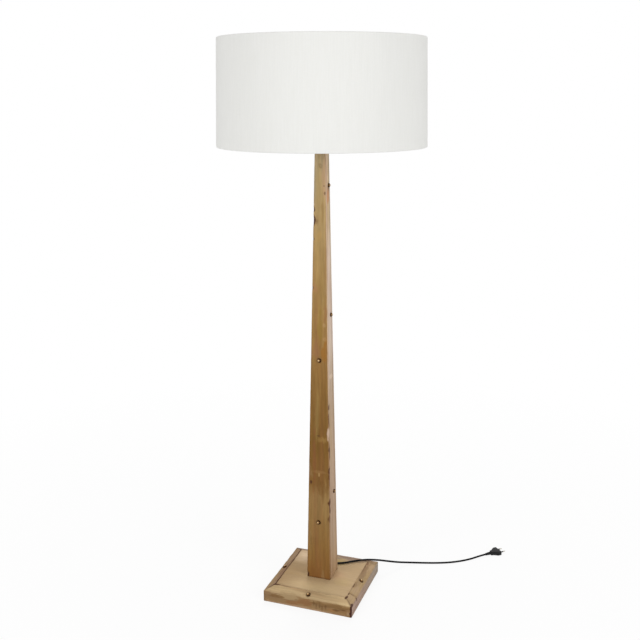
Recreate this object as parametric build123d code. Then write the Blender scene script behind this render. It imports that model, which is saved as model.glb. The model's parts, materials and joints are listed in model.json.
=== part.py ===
from build123d import *

import math
import os

# Column floor lamp in millimetres, +Z up, front towards -Y.
# The origin is on the floor, under the axis of the column.

# Base: a mitred frame of bevelled boards round a flat panel, weighted underneath
BASE_SIDE = 285.0
BASE_EDGE_HEIGHT = 37.0
BASE_TOP_HEIGHT = 49.0
BEVEL_WIDTH = 27.0
PANEL_THICKNESS = 20.0
BALLAST_THICKNESS = 8.0
BALLAST_MARGIN = 5.0
BALLAST_SCREW_INSET = 34.0
PAD_DIAMETER = 22.0
PAD_HEIGHT = 1.5

# Column: four tapered boards glued into a hollow box, with a block in its foot
COLUMN_HEIGHT = 1343.0
COLUMN_FOOT_SIDE = 76.0
COLUMN_TOP_SIDE = 32.0
COLUMN_BOARD = 10.0
FOOT_BLOCK_HEIGHT = 70.0
FOOT_SCREW_SPREAD = 14.0
BOARD_ARRIS = 0.8

# Domed nails: on the centre line of the front and back, and behind it on the sides.
# Rises are above the base and the drop is below the column's top.
NAIL_HEAD_DIAMETER = 13.0
NAIL_HEAD_HEIGHT = 4.2
NAIL_SHANK_DIAMETER = 2.4
NAIL_LENGTH = 9.0
FACE_NAIL_RISES = (189.0, 709.0)
SIDE_NAIL_RISES = (279.0, 844.0)
SIDE_NAIL_DROP = 115.0
SIDE_NAIL_SHIFT = 0.36

# Lampholder, from the plate on the column upwards
PLATE_THICKNESS = 3.0
PLATE_MARGIN = 1.0
NIPPLE_DIAMETER = 10.0
NIPPLE_BORE = 7.4
NIPPLE_REACH = 10.0
LOCK_NUT_FLATS = 14.0
LOCK_NUT_HEIGHT = 4.0
CAP_DIAMETER = 46.0
CAP_HEIGHT = 36.0
CAP_WALL = 2.6
INSERT_HEIGHT = 20.0
SKIRT_DIAMETER = 39.6
SKIRT_HEIGHT = 38.0
SKIRT_FLANGE_HEIGHT = 6.0
SHELL_BORE = 26.8
SHELL_WALL = 0.6
SHELL_HEIGHT = 24.0
SEAT_RING_HEIGHT = 5.0
CLAMP_RING_HEIGHT = 9.0
SHADE_RING_DIAMETER = 57.0
GRIP_SCALLOPS = 10
SWITCH_BAR_DIAMETER = 6.0
SWITCH_TRAVEL = 8.0
SWITCH_STICK_OUT = 5.0

# Bulb
BULB_CAP_DIAMETER = 26.0
BULB_CAP_HEIGHT = 19.0
BULB_TIP_DIAMETER = 9.6
BULB_TIP_HEIGHT = 2.0
BULB_INSULATOR_HEIGHT = 3.6
BULB_DIAMETER = 60.0
BULB_NECK_DIAMETER = 27.6
BULB_CENTRE_RISE = 52.0
BULB_GLASS = 0.8
CONTACT_HEIGHT = 3.0

# Shade: a slightly tapered fabric drum on two wire rings
SHADE_BOTTOM_DIAMETER = 600.0
SHADE_TOP_DIAMETER = 586.0
SHADE_HEIGHT = 300.0
SHADE_WALL = 1.0
SHADE_WIRE = 4.0
HEM_LIP = 7.0
HEM_THICKNESS = 0.8
FITTER_RISE = 59.0
FITTER_DIAMETER = 62.0
FITTER_THICKNESS = 2.0
FITTER_LIP = 6.0
SPOKE_COUNT = 3
SPOKE_START_ANGLE = 90.0

# Cord: out of the back of the column, coiled behind it, then over the base to its plug
CORD_DIAMETER = 6.0
CORD_GAP = 0.5
INNER_BEND = 24.0
BUSH_COLLAR_DIAMETER = 15.0
BUSH_COLLAR_THICKNESS = 2.5
BUSH_STEM_DIAMETER = 9.0
BUSH_NOSE = 16.0
COIL_LAYERS = 4
COIL_LAYER_TURNS = 2
COIL_INNER_RADIUS = 24.0
COIL_END_ANGLE = 286.0
COIL_CLEARANCE = 2.5
COIL_LEAVE = 34.0
TIE_WIDTH = 5.0
TIE_THICKNESS = 0.7
TIE_CLEARANCE = 0.45
PLUG_WIDTH = 35.6
PLUG_THICKNESS = 13.7
PLUG_LENGTH = 34.0
PLUG_BOOT = 20.0
PIN_DIAMETER = 4.0
PIN_LENGTH = 19.0
PIN_SPACING = 19.0

# Points of the cord's free stretch after it leaves the coil, chosen by hand
CORD_ROUTE = [
    (44.0, 68.0, 52.9),
    (77.0, 94.0, 53.2),
    (110.0, 112.5, 54.8),
    (143.0, 131.0, 49.8),
    (169.0, 159.0, 35.8),
    (196.0, 194.0, 18.2),
    (224.0, 225.0, 6.2),
    (264.0, 242.5, 3.1),
    (309.0, 257.0, 3.1),
    (352.0, 275.5, 3.1),
    (388.0, 299.0, 3.1),
    (417.0, 324.0, 3.6),
    (441.0, 346.5, 7.0),
    (458.0, 363.5, 7.0),
]

# Clearances between pieces that are glued, screwed or that turn
GLUE_FIT = 0.15
SCREW_FIT = 0.05
MOVING_FIT = 0.3

# Levels that follow from the sizes above
BASE_HALF = BASE_SIDE / 2
PANEL_HALF = BASE_HALF - BEVEL_WIDTH
PANEL_BOTTOM = BASE_TOP_HEIGHT - PANEL_THICKNESS
BALLAST_BOTTOM = PANEL_BOTTOM - BALLAST_THICKNESS
COLUMN_TOP = BASE_TOP_HEIGHT + COLUMN_HEIGHT
LEAN = (COLUMN_FOOT_SIDE - COLUMN_TOP_SIDE) / 2 / COLUMN_HEIGHT
PLATE_TOP = COLUMN_TOP + PLATE_THICKNESS
NUT_TOP = PLATE_TOP + LOCK_NUT_HEIGHT
CAP_TOP = NUT_TOP + CAP_HEIGHT
INSERT_BOTTOM = CAP_TOP - INSERT_HEIGHT
SWITCH_LEVEL = CAP_TOP - INSERT_HEIGHT / 2
SEAT_BOTTOM = CAP_TOP + SKIRT_FLANGE_HEIGHT
SEAT_TOP = SEAT_BOTTOM + SEAT_RING_HEIGHT
FITTER_BOTTOM = SEAT_TOP + MOVING_FIT
FITTER_TOP = FITTER_BOTTOM + FITTER_THICKNESS
CLAMP_BOTTOM = FITTER_TOP + MOVING_FIT
BULB_BOTTOM = CAP_TOP + CONTACT_HEIGHT + MOVING_FIT
BULB_CAP_BOTTOM = BULB_BOTTOM + BULB_TIP_HEIGHT + BULB_INSULATOR_HEIGHT
BULB_CAP_TOP = BULB_CAP_BOTTOM + BULB_CAP_HEIGHT
SHADE_BOTTOM = FITTER_BOTTOM - FITTER_RISE
SHADE_TOP = SHADE_BOTTOM + SHADE_HEIGHT
CORD_STEP = CORD_DIAMETER + CORD_GAP
COIL_OUTER_RADIUS = COIL_INNER_RADIUS + COIL_LAYER_TURNS * CORD_STEP
COIL_LOW = BASE_TOP_HEIGHT + TIE_THICKNESS + TIE_CLEARANCE + 0.1 + CORD_DIAMETER / 2
CORD_EXIT_LEVEL = COIL_LOW + (COIL_LAYERS - 1) * CORD_STEP
COIL_CENTRE_X = -COIL_OUTER_RADIUS
COIL_CENTRE_Y = COLUMN_FOOT_SIDE / 2 + COIL_CLEARANCE + COIL_OUTER_RADIUS + CORD_DIAMETER / 2


# Helpers
def turned(*corners):
    """A solid of revolution about the lamp's axis, from (radius, height) corners."""
    return revolve(Plane.XZ * Polygon(*corners), Axis.Z)


def upright(radius, bottom, top, x=0.0, y=0.0):
    """An upright cylinder between two heights."""
    return Pos(x, y, (bottom + top) / 2) * Cylinder(radius, top - bottom)


def ring(outer, inner, bottom, top):
    """An upright ring between two heights."""
    return turned((inner, bottom), (outer, bottom), (outer, top), (inner, top))


def column_half(height):
    """Half the column's side at a height."""
    return COLUMN_FOOT_SIDE / 2 - LEAN * (height - BASE_TOP_HEIGHT)


def around(shape):
    """The four copies of a shape that is drawn on the front."""
    return [Rot(0, 0, 90 * quarter) * shape for quarter in range(4)]


def countersunk_screw(shank, head, length):
    """A screw along +Z whose flat head lies at z = 0."""
    cone = (head - shank) / 2
    return turned((0, 0), (head / 2, 0), (shank / 2, cone), (shank / 2, length - shank), (0, length))


def countersunk_hole(shank, head, length):
    """The hole that a countersunk screw sits in, a little wider than the screw."""
    return countersunk_screw(shank + 2 * SCREW_FIT, head + 2 * SCREW_FIT, length + SCREW_FIT)


def screw_at(place, shank, head, length):
    """A screw and its hole in their place."""
    solid = place * countersunk_screw(shank, head, length)
    return {"solid": solid, "hole": place * countersunk_hole(shank, head, length)}


# Base
def base_board():
    """The front board of the frame, mitred at both ends."""
    section = Plane.YZ * Polygon(
        (-BASE_HALF, PAD_HEIGHT),
        (-PANEL_HALF, PAD_HEIGHT),
        (-PANEL_HALF, BASE_TOP_HEIGHT),
        (-BASE_HALF, BASE_EDGE_HEIGHT),
    )
    length = extrude(section, BASE_HALF, both=True)
    mitre = Polygon((0, 0), (-BASE_HALF, -BASE_HALF), (BASE_HALF, -BASE_HALF))
    board = length & extrude(mitre, BASE_TOP_HEIGHT)
    eased = board.edges().filter_by(lambda edge: edge.center().Z > BASE_EDGE_HEIGHT / 2)
    return chamfer(eased, BOARD_ARRIS)


def nail():
    """A domed nail along -Z whose head lies on z = 0."""
    ball = (NAIL_HEAD_DIAMETER**2 / 4 + NAIL_HEAD_HEIGHT**2) / (2 * NAIL_HEAD_HEIGHT)
    dome = Pos(0, 0, NAIL_HEAD_HEIGHT - ball) * Sphere(ball)
    head = dome & (Pos(0, 0, NAIL_HEAD_HEIGHT / 2) * Cylinder(NAIL_HEAD_DIAMETER, NAIL_HEAD_HEIGHT))
    return head + upright(NAIL_SHANK_DIAMETER / 2, -NAIL_LENGTH, 0)


def nail_hole():
    """The hole of a nail, a little wider and deeper than its shank."""
    return upright(NAIL_SHANK_DIAMETER / 2 + SCREW_FIT, -NAIL_LENGTH - SCREW_FIT, 1)


def base_nail_place():
    """The middle of the front bevel, with the bevel's own normal."""
    rise = BASE_TOP_HEIGHT - BASE_EDGE_HEIGHT
    middle = (0, -(BASE_HALF + PANEL_HALF) / 2, (BASE_TOP_HEIGHT + BASE_EDGE_HEIGHT) / 2)
    return Plane(origin=middle, x_dir=(1, 0, 0), z_dir=(0, -rise, BEVEL_WIDTH)).location


def corner_places(spread):
    """Four points in a square."""
    return [(x * spread, y * spread) for x in (-1, 1) for y in (-1, 1)]


def base_panel():
    """The flat middle of the base, bored for the screws that come up from below."""
    side = 2 * PANEL_HALF
    panel = Pos(0, 0, BASE_TOP_HEIGHT - PANEL_THICKNESS / 2) * Box(side, side, PANEL_THICKNESS)
    panel = chamfer(panel.faces().sort_by(Axis.Z)[-1].edges(), BOARD_ARRIS)
    for screw in FOOT_SCREWS + BALLAST_SCREWS:
        panel -= screw["hole"]
    return panel


def ballast_plate():
    """The steel weight under the panel."""
    side = 2 * (PANEL_HALF - BALLAST_MARGIN)
    plate = Pos(0, 0, BALLAST_BOTTOM + BALLAST_THICKNESS / 2) * Box(side, side, BALLAST_THICKNESS)
    for screw in BALLAST_SCREWS:
        plate -= screw["hole"]
    return plate


def foot_screws():
    """Long screws from the panel's underside up into the foot block."""
    length = PANEL_THICKNESS + 0.6 * FOOT_BLOCK_HEIGHT
    return [screw_at(Pos(x, y, PANEL_BOTTOM), 5, 9.5, length) for x, y in corner_places(FOOT_SCREW_SPREAD)]


def ballast_screws():
    """Countersunk screws that hold the weight to the panel."""
    length = BALLAST_THICKNESS + 0.6 * PANEL_THICKNESS
    spread = PANEL_HALF - BALLAST_SCREW_INSET
    return [screw_at(Pos(x, y, BALLAST_BOTTOM), 4, 8, length) for x, y in corner_places(spread)]


def felt_pads():
    """A felt disc under each mitre of the frame."""
    middle = (BASE_HALF + PANEL_HALF) / 2
    return [upright(PAD_DIAMETER / 2, 0, PAD_HEIGHT, x, y) for x, y in corner_places(middle)]


# Column
def tapered_box(side, height):
    """A square block on the base's top that leans in as the column does."""
    lean_angle = math.degrees(math.atan(LEAN))
    return Pos(0, 0, BASE_TOP_HEIGHT) * extrude(Rectangle(side, side), height, taper=lean_angle)


def nail_place(quarter, height, shift):
    """A point on one face of the column, with that face's own normal."""
    point = (shift * column_half(height), -column_half(height), height)
    return Rot(0, 0, 90 * quarter) * Plane(origin=point, x_dir=(1, 0, 0), z_dir=(0, -1, LEAN)).location


def column_nail_places():
    """Where the nails go, by face: front, right, back, left."""
    face_heights = [BASE_TOP_HEIGHT + rise for rise in FACE_NAIL_RISES]
    side_heights = [BASE_TOP_HEIGHT + rise for rise in SIDE_NAIL_RISES] + [COLUMN_TOP - SIDE_NAIL_DROP]
    front = [nail_place(0, height, 0) for height in face_heights]
    right = [nail_place(1, height, SIDE_NAIL_SHIFT) for height in side_heights]
    back = [nail_place(2, height, 0) for height in face_heights]
    left = [nail_place(3, height, -SIDE_NAIL_SHIFT) for height in side_heights]
    return [front, right, back, left]


def plate_screws():
    """Two screws through the top plate into the ends of the front and back boards."""
    y = (COLUMN_TOP_SIDE - COLUMN_BOARD) / 2
    flip = Rot(180, 0, 0)
    return [screw_at(Pos(0, side, PLATE_TOP) * flip, 3, 5.6, 18) for side in (-y, y)]


def is_column_corner(edge):
    """Whether a long edge is one of the column's four corners."""
    middle = edge.center()
    return min(abs(middle.X), abs(middle.Y)) > column_half(middle.Z) - COLUMN_BOARD / 2


def column_boards():
    """Front and back boards across the full width, side boards between them."""
    box = tapered_box(COLUMN_FOOT_SIDE, COLUMN_HEIGHT)
    front = box - Pos(0, COLUMN_BOARD, 0) * box
    back = box - Pos(0, -COLUMN_BOARD, 0) * box
    right = box - Pos(-COLUMN_BOARD, 0, 0) * box - front - back
    left = box - Pos(COLUMN_BOARD, 0, 0) * box - front - back
    bore = upright(NIPPLE_DIAMETER / 2 + SCREW_FIT, COLUMN_TOP - NIPPLE_REACH - 1, COLUMN_TOP + 1)
    exit_bore = Pos(0, COLUMN_FOOT_SIDE / 2, CORD_EXIT_LEVEL) * Rot(90, 0, 0) * Cylinder(
        BUSH_STEM_DIAMETER / 2 + SCREW_FIT, 4 * COLUMN_BOARD
    )
    holes = [place * nail_hole() for places in column_nail_places() for place in places]
    boards = []
    for board in (front, right, back, left):
        corners = board.edges().filter_by(lambda edge: edge.length > COLUMN_HEIGHT / 2)
        outer = corners.filter_by(is_column_corner)
        if outer:
            board = chamfer(outer, BOARD_ARRIS)
        for hole in holes:
            board -= hole
        for screw in PLATE_SCREWS:
            board -= screw["hole"]
        boards.append(board - bore - exit_bore)
    return boards


def foot_block():
    """The block inside the column's foot, slotted for the cord."""
    side = COLUMN_FOOT_SIDE - 2 * COLUMN_BOARD - 2 * GLUE_FIT
    block = tapered_box(side, FOOT_BLOCK_HEIGHT)
    width = CORD_DIAMETER + 3
    slot = Pos(0, side / 2 - width / 2, BASE_TOP_HEIGHT + FOOT_BLOCK_HEIGHT / 2) * Box(
        width, side, 2 * FOOT_BLOCK_HEIGHT
    )
    for screw in FOOT_SCREWS:
        block -= screw["hole"]
    return block - slot


# Lampholder
def top_plate():
    """The steel plate on the column's end that carries the lampholder."""
    side = COLUMN_TOP_SIDE - 2 * PLATE_MARGIN
    plate = Pos(0, 0, COLUMN_TOP + PLATE_THICKNESS / 2) * Box(side, side, PLATE_THICKNESS)
    plate -= upright(NIPPLE_DIAMETER / 2 + SCREW_FIT, COLUMN_TOP, PLATE_TOP)
    for screw in PLATE_SCREWS:
        plate -= screw["hole"]
    return plate


def nipple():
    """The hollow threaded tube that joins the plate and the lampholder."""
    return ring(NIPPLE_DIAMETER / 2, NIPPLE_BORE / 2, COLUMN_TOP - NIPPLE_REACH, NUT_TOP + NIPPLE_REACH)


def lock_nut():
    """The hexagon nut between the plate and the lampholder."""
    hexagon = RegularPolygon(LOCK_NUT_FLATS / 2, 6, major_radius=False)
    nut = Pos(0, 0, PLATE_TOP) * extrude(hexagon, LOCK_NUT_HEIGHT)
    return nut - upright(NIPPLE_DIAMETER / 2 + SCREW_FIT, PLATE_TOP, NUT_TOP)


def switch_tunnel():
    """The way across the lampholder that the switch bar slides in."""
    return Pos(0, 0, SWITCH_LEVEL) * Rot(0, 90, 0) * Cylinder(
        SWITCH_BAR_DIAMETER / 2 + MOVING_FIT, 2 * CAP_DIAMETER
    )


def holder_cap():
    """The lower cup of the lampholder, round the switch."""
    outer = CAP_DIAMETER / 2
    boss = NIPPLE_DIAMETER / 2 + 4
    thread = NIPPLE_DIAMETER / 2 + SCREW_FIT
    wires = NIPPLE_DIAMETER / 2 + 1.5
    grip = NUT_TOP + NIPPLE_REACH
    cup = turned(
        (thread, NUT_TOP),
        (boss, NUT_TOP),
        (boss, NUT_TOP + 3),
        (outer - 4, INSERT_BOTTOM - 5),
        (outer, INSERT_BOTTOM + 1),
        (outer, CAP_TOP),
        (outer - CAP_WALL, CAP_TOP),
        (outer - CAP_WALL, INSERT_BOTTOM),
        (wires, INSERT_BOTTOM),
        (wires, grip),
        (thread, grip),
    )
    return cup - switch_tunnel()


def holder_insert():
    """The terminal block, bored across for the switch bar."""
    block = upright(CAP_DIAMETER / 2 - CAP_WALL - GLUE_FIT, INSERT_BOTTOM, CAP_TOP)
    return block - switch_tunnel()


def holder_skirt():
    """The threaded sleeve that the bulb goes into and the shade rings go on."""
    bore = SHELL_BORE / 2 + SHELL_WALL + GLUE_FIT
    flange = CAP_DIAMETER / 2
    mouth = CAP_TOP + SHELL_HEIGHT + 2
    return turned(
        (bore, CAP_TOP),
        (flange, CAP_TOP),
        (flange, SEAT_BOTTOM),
        (SKIRT_DIAMETER / 2, SEAT_BOTTOM),
        (SKIRT_DIAMETER / 2, CAP_TOP + SKIRT_HEIGHT),
        (bore + 3, CAP_TOP + SKIRT_HEIGHT),
        (bore + 3, mouth),
        (bore, mouth),
    )


def screw_shell():
    """The brass cup that takes the bulb's cap."""
    inner = SHELL_BORE / 2
    outer = inner + SHELL_WALL
    top = CAP_TOP + SHELL_HEIGHT
    hole = BULB_TIP_DIAMETER / 2 + 1
    return turned(
        (hole, CAP_TOP),
        (outer, CAP_TOP),
        (outer, top),
        (inner, top),
        (inner, CAP_TOP + SHELL_WALL),
        (hole, CAP_TOP + SHELL_WALL),
    )


def centre_contact():
    """The springy tongue under the bulb's tip."""
    reach = BULB_TIP_DIAMETER / 2 - 0.5
    strip = 0.5
    arch = make_face(
        [
            ThreePointArc((-reach, 0), (0, CONTACT_HEIGHT), (reach, 0)),
            Line((reach, 0), (reach - strip, 0)),
            ThreePointArc((reach - strip, 0), (0, CONTACT_HEIGHT - strip), (strip - reach, 0)),
            Line((strip - reach, 0), (-reach, 0)),
        ]
    )
    return Pos(0, 0, CAP_TOP) * extrude(Plane.XZ * arch, 2, both=True)


def seat_ring():
    """The fixed ring under the shade's fitter."""
    return ring(SHADE_RING_DIAMETER / 2, SKIRT_DIAMETER / 2 + GLUE_FIT, SEAT_BOTTOM, SEAT_TOP)


def clamp_ring():
    """The ring above the fitter, scalloped for the fingers."""
    outer = SHADE_RING_DIAMETER / 2
    body = ring(outer, SKIRT_DIAMETER / 2 + MOVING_FIT, CLAMP_BOTTOM, CLAMP_BOTTOM + CLAMP_RING_HEIGHT)
    top = CLAMP_BOTTOM + CLAMP_RING_HEIGHT
    for index in range(GRIP_SCALLOPS):
        turn = math.radians(360 / GRIP_SCALLOPS * index)
        middle = outer + 2.5
        body -= upright(4, CLAMP_BOTTOM + 2, top, middle * math.cos(turn), middle * math.sin(turn))
    return body


def switch_bar():
    """The push bar of the switch, at rest with its long end towards -X."""
    length = CAP_DIAMETER + 2 * SWITCH_STICK_OUT + SWITCH_TRAVEL
    bar = Cylinder(SWITCH_BAR_DIAMETER / 2, length)
    bar = fillet(bar.edges().filter_by(GeomType.CIRCLE), SWITCH_BAR_DIAMETER / 4)
    return Pos(-SWITCH_TRAVEL / 2, 0, SWITCH_LEVEL) * Rot(0, 90, 0) * bar


# Bulb
def bulb_tip():
    """The contact at the bottom of the bulb."""
    return upright(BULB_TIP_DIAMETER / 2, BULB_BOTTOM, BULB_BOTTOM + BULB_TIP_HEIGHT)


def bulb_insulator():
    """The dark glass between the tip and the cap."""
    low = BULB_BOTTOM + BULB_TIP_HEIGHT
    tip = BULB_TIP_DIAMETER / 2
    return turned((0, low), (tip, low), (BULB_CAP_DIAMETER / 2, BULB_CAP_BOTTOM), (0, BULB_CAP_BOTTOM))


def bulb_cap():
    """The metal screw cap as a plain sleeve."""
    return ring(BULB_CAP_DIAMETER / 2, BULB_CAP_DIAMETER / 2 - 0.6, BULB_CAP_BOTTOM, BULB_CAP_TOP)


def bulb_body(inset):
    """The bulb's form, drawn inwards by the inset: a neck that swells into a ball."""
    neck = BULB_NECK_DIAMETER / 2 - inset
    ball = BULB_DIAMETER / 2 - inset
    start = BULB_CAP_TOP + 6
    centre = BULB_CAP_TOP + BULB_CENTRE_RISE
    rise = centre - start
    sweep_radius = (neck**2 + rise**2 - ball**2) / (2 * (ball - neck))
    run = neck + sweep_radius
    reach = math.hypot(run, rise)
    join = (ball * run / reach, centre - ball * rise / reach)
    outline = [
        Line((0, BULB_CAP_TOP), (neck, BULB_CAP_TOP)),
        Line((neck, BULB_CAP_TOP), (neck, start)),
        TangentArc((neck, start), join, tangent=(0, 1)),
        TangentArc(join, (0, centre + ball), tangent=(rise, run)),
        Line((0, centre + ball), (0, BULB_CAP_TOP)),
    ]
    return revolve(Plane.XZ * make_face(outline), Axis.Z)


def bulb_globe():
    """The opal glass, hollow and open at the neck."""
    return bulb_body(0) - bulb_body(BULB_GLASS)


# Shade
def drum_radius(height):
    """The drum's outside radius at a height."""
    taper = (SHADE_BOTTOM_DIAMETER - SHADE_TOP_DIAMETER) / 2 / SHADE_HEIGHT
    return SHADE_BOTTOM_DIAMETER / 2 - taper * (height - SHADE_BOTTOM)


def shade_drum():
    """The stiffened fabric wall."""
    low = drum_radius(SHADE_BOTTOM)
    high = drum_radius(SHADE_TOP)
    return turned(
        (low - SHADE_WALL, SHADE_BOTTOM),
        (low, SHADE_BOTTOM),
        (high, SHADE_TOP),
        (high - SHADE_WALL, SHADE_TOP),
    )


def wire_place(upwards):
    """Centre radius and height of a wire ring; upwards is 1 for the lower ring and -1 for the upper."""
    edge = SHADE_BOTTOM if upwards > 0 else SHADE_TOP
    height = edge + upwards * (HEM_THICKNESS + 2 * GLUE_FIT + SHADE_WIRE / 2)
    inner = min(drum_radius(height - SHADE_WIRE), drum_radius(height + SHADE_WIRE)) - SHADE_WALL
    return inner - GLUE_FIT - SHADE_WIRE / 2, height


def shade_wire(upwards):
    """A wire ring inside the edge of the drum."""
    radius, height = wire_place(upwards)
    return Pos(0, 0, height) * Torus(radius, SHADE_WIRE / 2)


def shade_hem(upwards):
    """The fabric turned in under a wire and up its inner side."""
    radius, height = wire_place(upwards)
    near = SHADE_WIRE / 2 + GLUE_FIT
    far = near + HEM_THICKNESS
    outer = radius + SHADE_WIRE / 2
    return turned(
        (outer, height - upwards * near),
        (outer, height - upwards * far),
        (radius - far + 1.2, height - upwards * far),
        (radius - far, height - upwards * (far - 1.2)),
        (radius - far, height + upwards * HEM_LIP),
        (radius - near, height + upwards * HEM_LIP),
        (radius - near, height - upwards * near),
    )


def spoke_places():
    """The angle of each spoke."""
    return [Rot(0, 0, SPOKE_START_ANGLE + 360 / SPOKE_COUNT * index) for index in range(SPOKE_COUNT)]


def shade_bottom_hem():
    """The lower hem, notched where the spokes leave the wire."""
    radius, height = wire_place(1)
    hem = shade_hem(1)
    notch = Box(SHADE_WIRE + 4, 3 * SHADE_WIRE, HEM_LIP + 5)
    notch = Pos(radius - SHADE_WIRE, 0, height + HEM_LIP / 2) * notch
    for place in spoke_places():
        hem -= place * notch
    return hem


def shade_fitter():
    """The pressed ring that sits between the lampholder's two rings."""
    outer = FITTER_DIAMETER / 2
    hole = SKIRT_DIAMETER / 2 + 2 * MOVING_FIT
    lip = FITTER_BOTTOM - FITTER_LIP
    return turned(
        (hole, FITTER_TOP),
        (hole, FITTER_BOTTOM),
        (outer - FITTER_THICKNESS, FITTER_BOTTOM),
        (outer - FITTER_THICKNESS, lip),
        (outer, lip),
        (outer, FITTER_TOP),
    )


def shade_spokes():
    """Wires from the fitter's lip out and down to the lower ring."""
    radius, height = wire_place(1)
    start = Vector(FITTER_DIAMETER / 2 - 1, 0, FITTER_BOTTOM - FITTER_LIP / 2 + FITTER_THICKNESS / 2)
    end = Vector(radius, 0, height)
    wire = Plane(origin=start, z_dir=end - start) * Circle(SHADE_WIRE / 2)
    spoke = extrude(wire, (end - start).length)
    spoke -= upright(FITTER_DIAMETER / 2 + SCREW_FIT, FITTER_BOTTOM - 3 * FITTER_LIP, FITTER_TOP + FITTER_LIP)
    spoke -= Pos(0, 0, height) * Torus(radius, SHADE_WIRE / 2 + SCREW_FIT)
    inner = spoke.solids().sort_by(Axis.X)[0]
    return [place * inner for place in spoke_places()]


# Cord
def coil_point(turns):
    """A point on the coil's centre line, counted in turns from its top layer downwards."""
    span = COIL_LAYER_TURNS
    sway = abs(turns % (2 * span) - span)
    radius = COIL_INNER_RADIUS + CORD_STEP * sway
    height = COIL_LOW + (COIL_LAYERS - 1) * CORD_STEP
    for layer in range(1, COIL_LAYERS):
        part = min(max((turns - layer * span + 0.25) / 0.5, 0), 1)
        height -= CORD_STEP * part * part * (3 - 2 * part)
    angle = 2 * math.pi * turns
    return Vector(COIL_CENTRE_X + radius * math.cos(angle), COIL_CENTRE_Y + radius * math.sin(angle), height)


def coil_heading(turns):
    """The direction of the coil's centre line; it starts straight back from the column."""
    if turns == 0:
        return Vector(0, 1, 0)
    return (coil_point(turns + 0.02) - coil_point(turns - 0.02)).normalized()


def biarc(start, start_heading, end, end_heading):
    """Two arcs that join two points along two headings."""
    gap = end - start
    both = start_heading + end_heading
    bend = 2 * (1 - start_heading.dot(end_heading))
    along = gap.dot(both)
    reach = (math.sqrt(along**2 + bend * gap.dot(gap)) - along) / bend
    first = start + start_heading * reach
    last = end - end_heading * reach
    middle = (first + last) / 2
    return [
        Edge.make_tangent_arc(start, start_heading, middle),
        Edge.make_tangent_arc(middle, last - first, end),
    ]


def coil_turns():
    """Where the coil ends, in turns."""
    return COIL_LAYERS * COIL_LAYER_TURNS - 1 + COIL_END_ANGLE / 360


def coil_end():
    """The point and direction in which the cord leaves the coil."""
    heading = coil_heading(coil_turns())
    heading = Vector(heading.X, heading.Y, 0).normalized()
    return coil_point(coil_turns()) + heading * CORD_DIAMETER, heading


def bush_end():
    """How far back the nose of the cord's bush reaches."""
    return column_half(CORD_EXIT_LEVEL - BUSH_COLLAR_DIAMETER / 2) + BUSH_COLLAR_THICKNESS + BUSH_NOSE


def coil_path():
    """The coil's centre line from the bush to the free stretch."""
    stops = [0.25 * index for index in range(int(4 * coil_turns()) + 1)] + [coil_turns()]
    edges = [Edge.make_line((0, bush_end(), CORD_EXIT_LEVEL), coil_point(0))]
    for start, end in zip(stops, stops[1:]):
        end_heading = coil_heading(end) if end < coil_turns() else coil_end()[1]
        edges += biarc(coil_point(start), coil_heading(start), coil_point(end), end_heading)
    edges.append(Edge.make_line(coil_point(coil_turns()), coil_end()[0]))
    return Wire(edges)


def round_tube(path):
    """A round cord along a path."""
    section = Plane(origin=path @ 0, z_dir=path % 0) * Circle(CORD_DIAMETER / 2)
    return sweep(section, path=path)


def route_path():
    """The free stretch as straight runs joined by the largest arcs that fit."""
    start, heading = coil_end()
    points = [start, start + heading * COIL_LEAVE] + [Vector(*point) for point in CORD_ROUTE]
    radii = []
    for before, corner, after in zip(points, points[1:], points[2:]):
        arriving = corner - before
        leaving = after - corner
        turn = math.radians(arriving.get_angle(leaving))
        radii.append(0.45 * min(arriving.length, leaving.length) / math.tan(turn / 2))
    print("cord bend radii:", [round(radius) for radius in radii])
    return FilletPolyline(*points, radius=radii).wire()


def coil_self_gap():
    """The least gap between turns of the coil, measured on points."""
    count = int(coil_turns() * 60)
    points = [coil_point(index / 60) for index in range(count)]
    pairs = [(first, second) for first in range(count) for second in range(first + 30, count)]
    return min((points[first] - points[second]).length for first, second in pairs) - CORD_DIAMETER


def inner_flex():
    """The cord inside: down the column, round the bend and out through the bush."""
    path = FilletPolyline(
        (0, 0, INSERT_BOTTOM), (0, 0, CORD_EXIT_LEVEL), (0, bush_end(), CORD_EXIT_LEVEL), radius=INNER_BEND
    )
    return round_tube(path.wire())


def cord_bush():
    """The tapered strain relief in the back board."""
    face = column_half(CORD_EXIT_LEVEL - BUSH_COLLAR_DIAMETER / 2)
    inside = column_half(CORD_EXIT_LEVEL) - COLUMN_BOARD
    bore = CORD_DIAMETER / 2 + SCREW_FIT
    stem = BUSH_STEM_DIAMETER / 2
    collar = face + BUSH_COLLAR_THICKNESS
    bush = turned(
        (bore, inside),
        (stem, inside),
        (stem, face),
        (BUSH_COLLAR_DIAMETER / 2, face),
        (BUSH_COLLAR_DIAMETER / 2, collar),
        (stem + 1.5, collar),
        (bore + 1.4, bush_end()),
        (bore, bush_end()),
    )
    return Pos(0, 0, CORD_EXIT_LEVEL) * Rot(-90, 0, 0) * bush


def cord_tie():
    """The strap round the coil, on the side away from the outlet."""
    middle = COIL_CENTRE_X - (COIL_INNER_RADIUS + COIL_OUTER_RADIUS) / 2
    room = 2 * TIE_CLEARANCE + CORD_DIAMETER
    wide = room + (COIL_LAYER_TURNS - 1) * CORD_STEP
    high = room + (COIL_LAYERS - 1) * CORD_STEP
    outer = Box(wide + 2 * TIE_THICKNESS, TIE_WIDTH, high + 2 * TIE_THICKNESS)
    outer = fillet(outer.edges().filter_by(Axis.Y), 1.5)
    inner = fillet(Box(wide, TIE_WIDTH, high).edges().filter_by(Axis.Y), 0.8)
    level = (COIL_LOW + CORD_EXIT_LEVEL) / 2
    return Pos(middle, COIL_CENTRE_Y, level) * (outer - inner)


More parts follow.
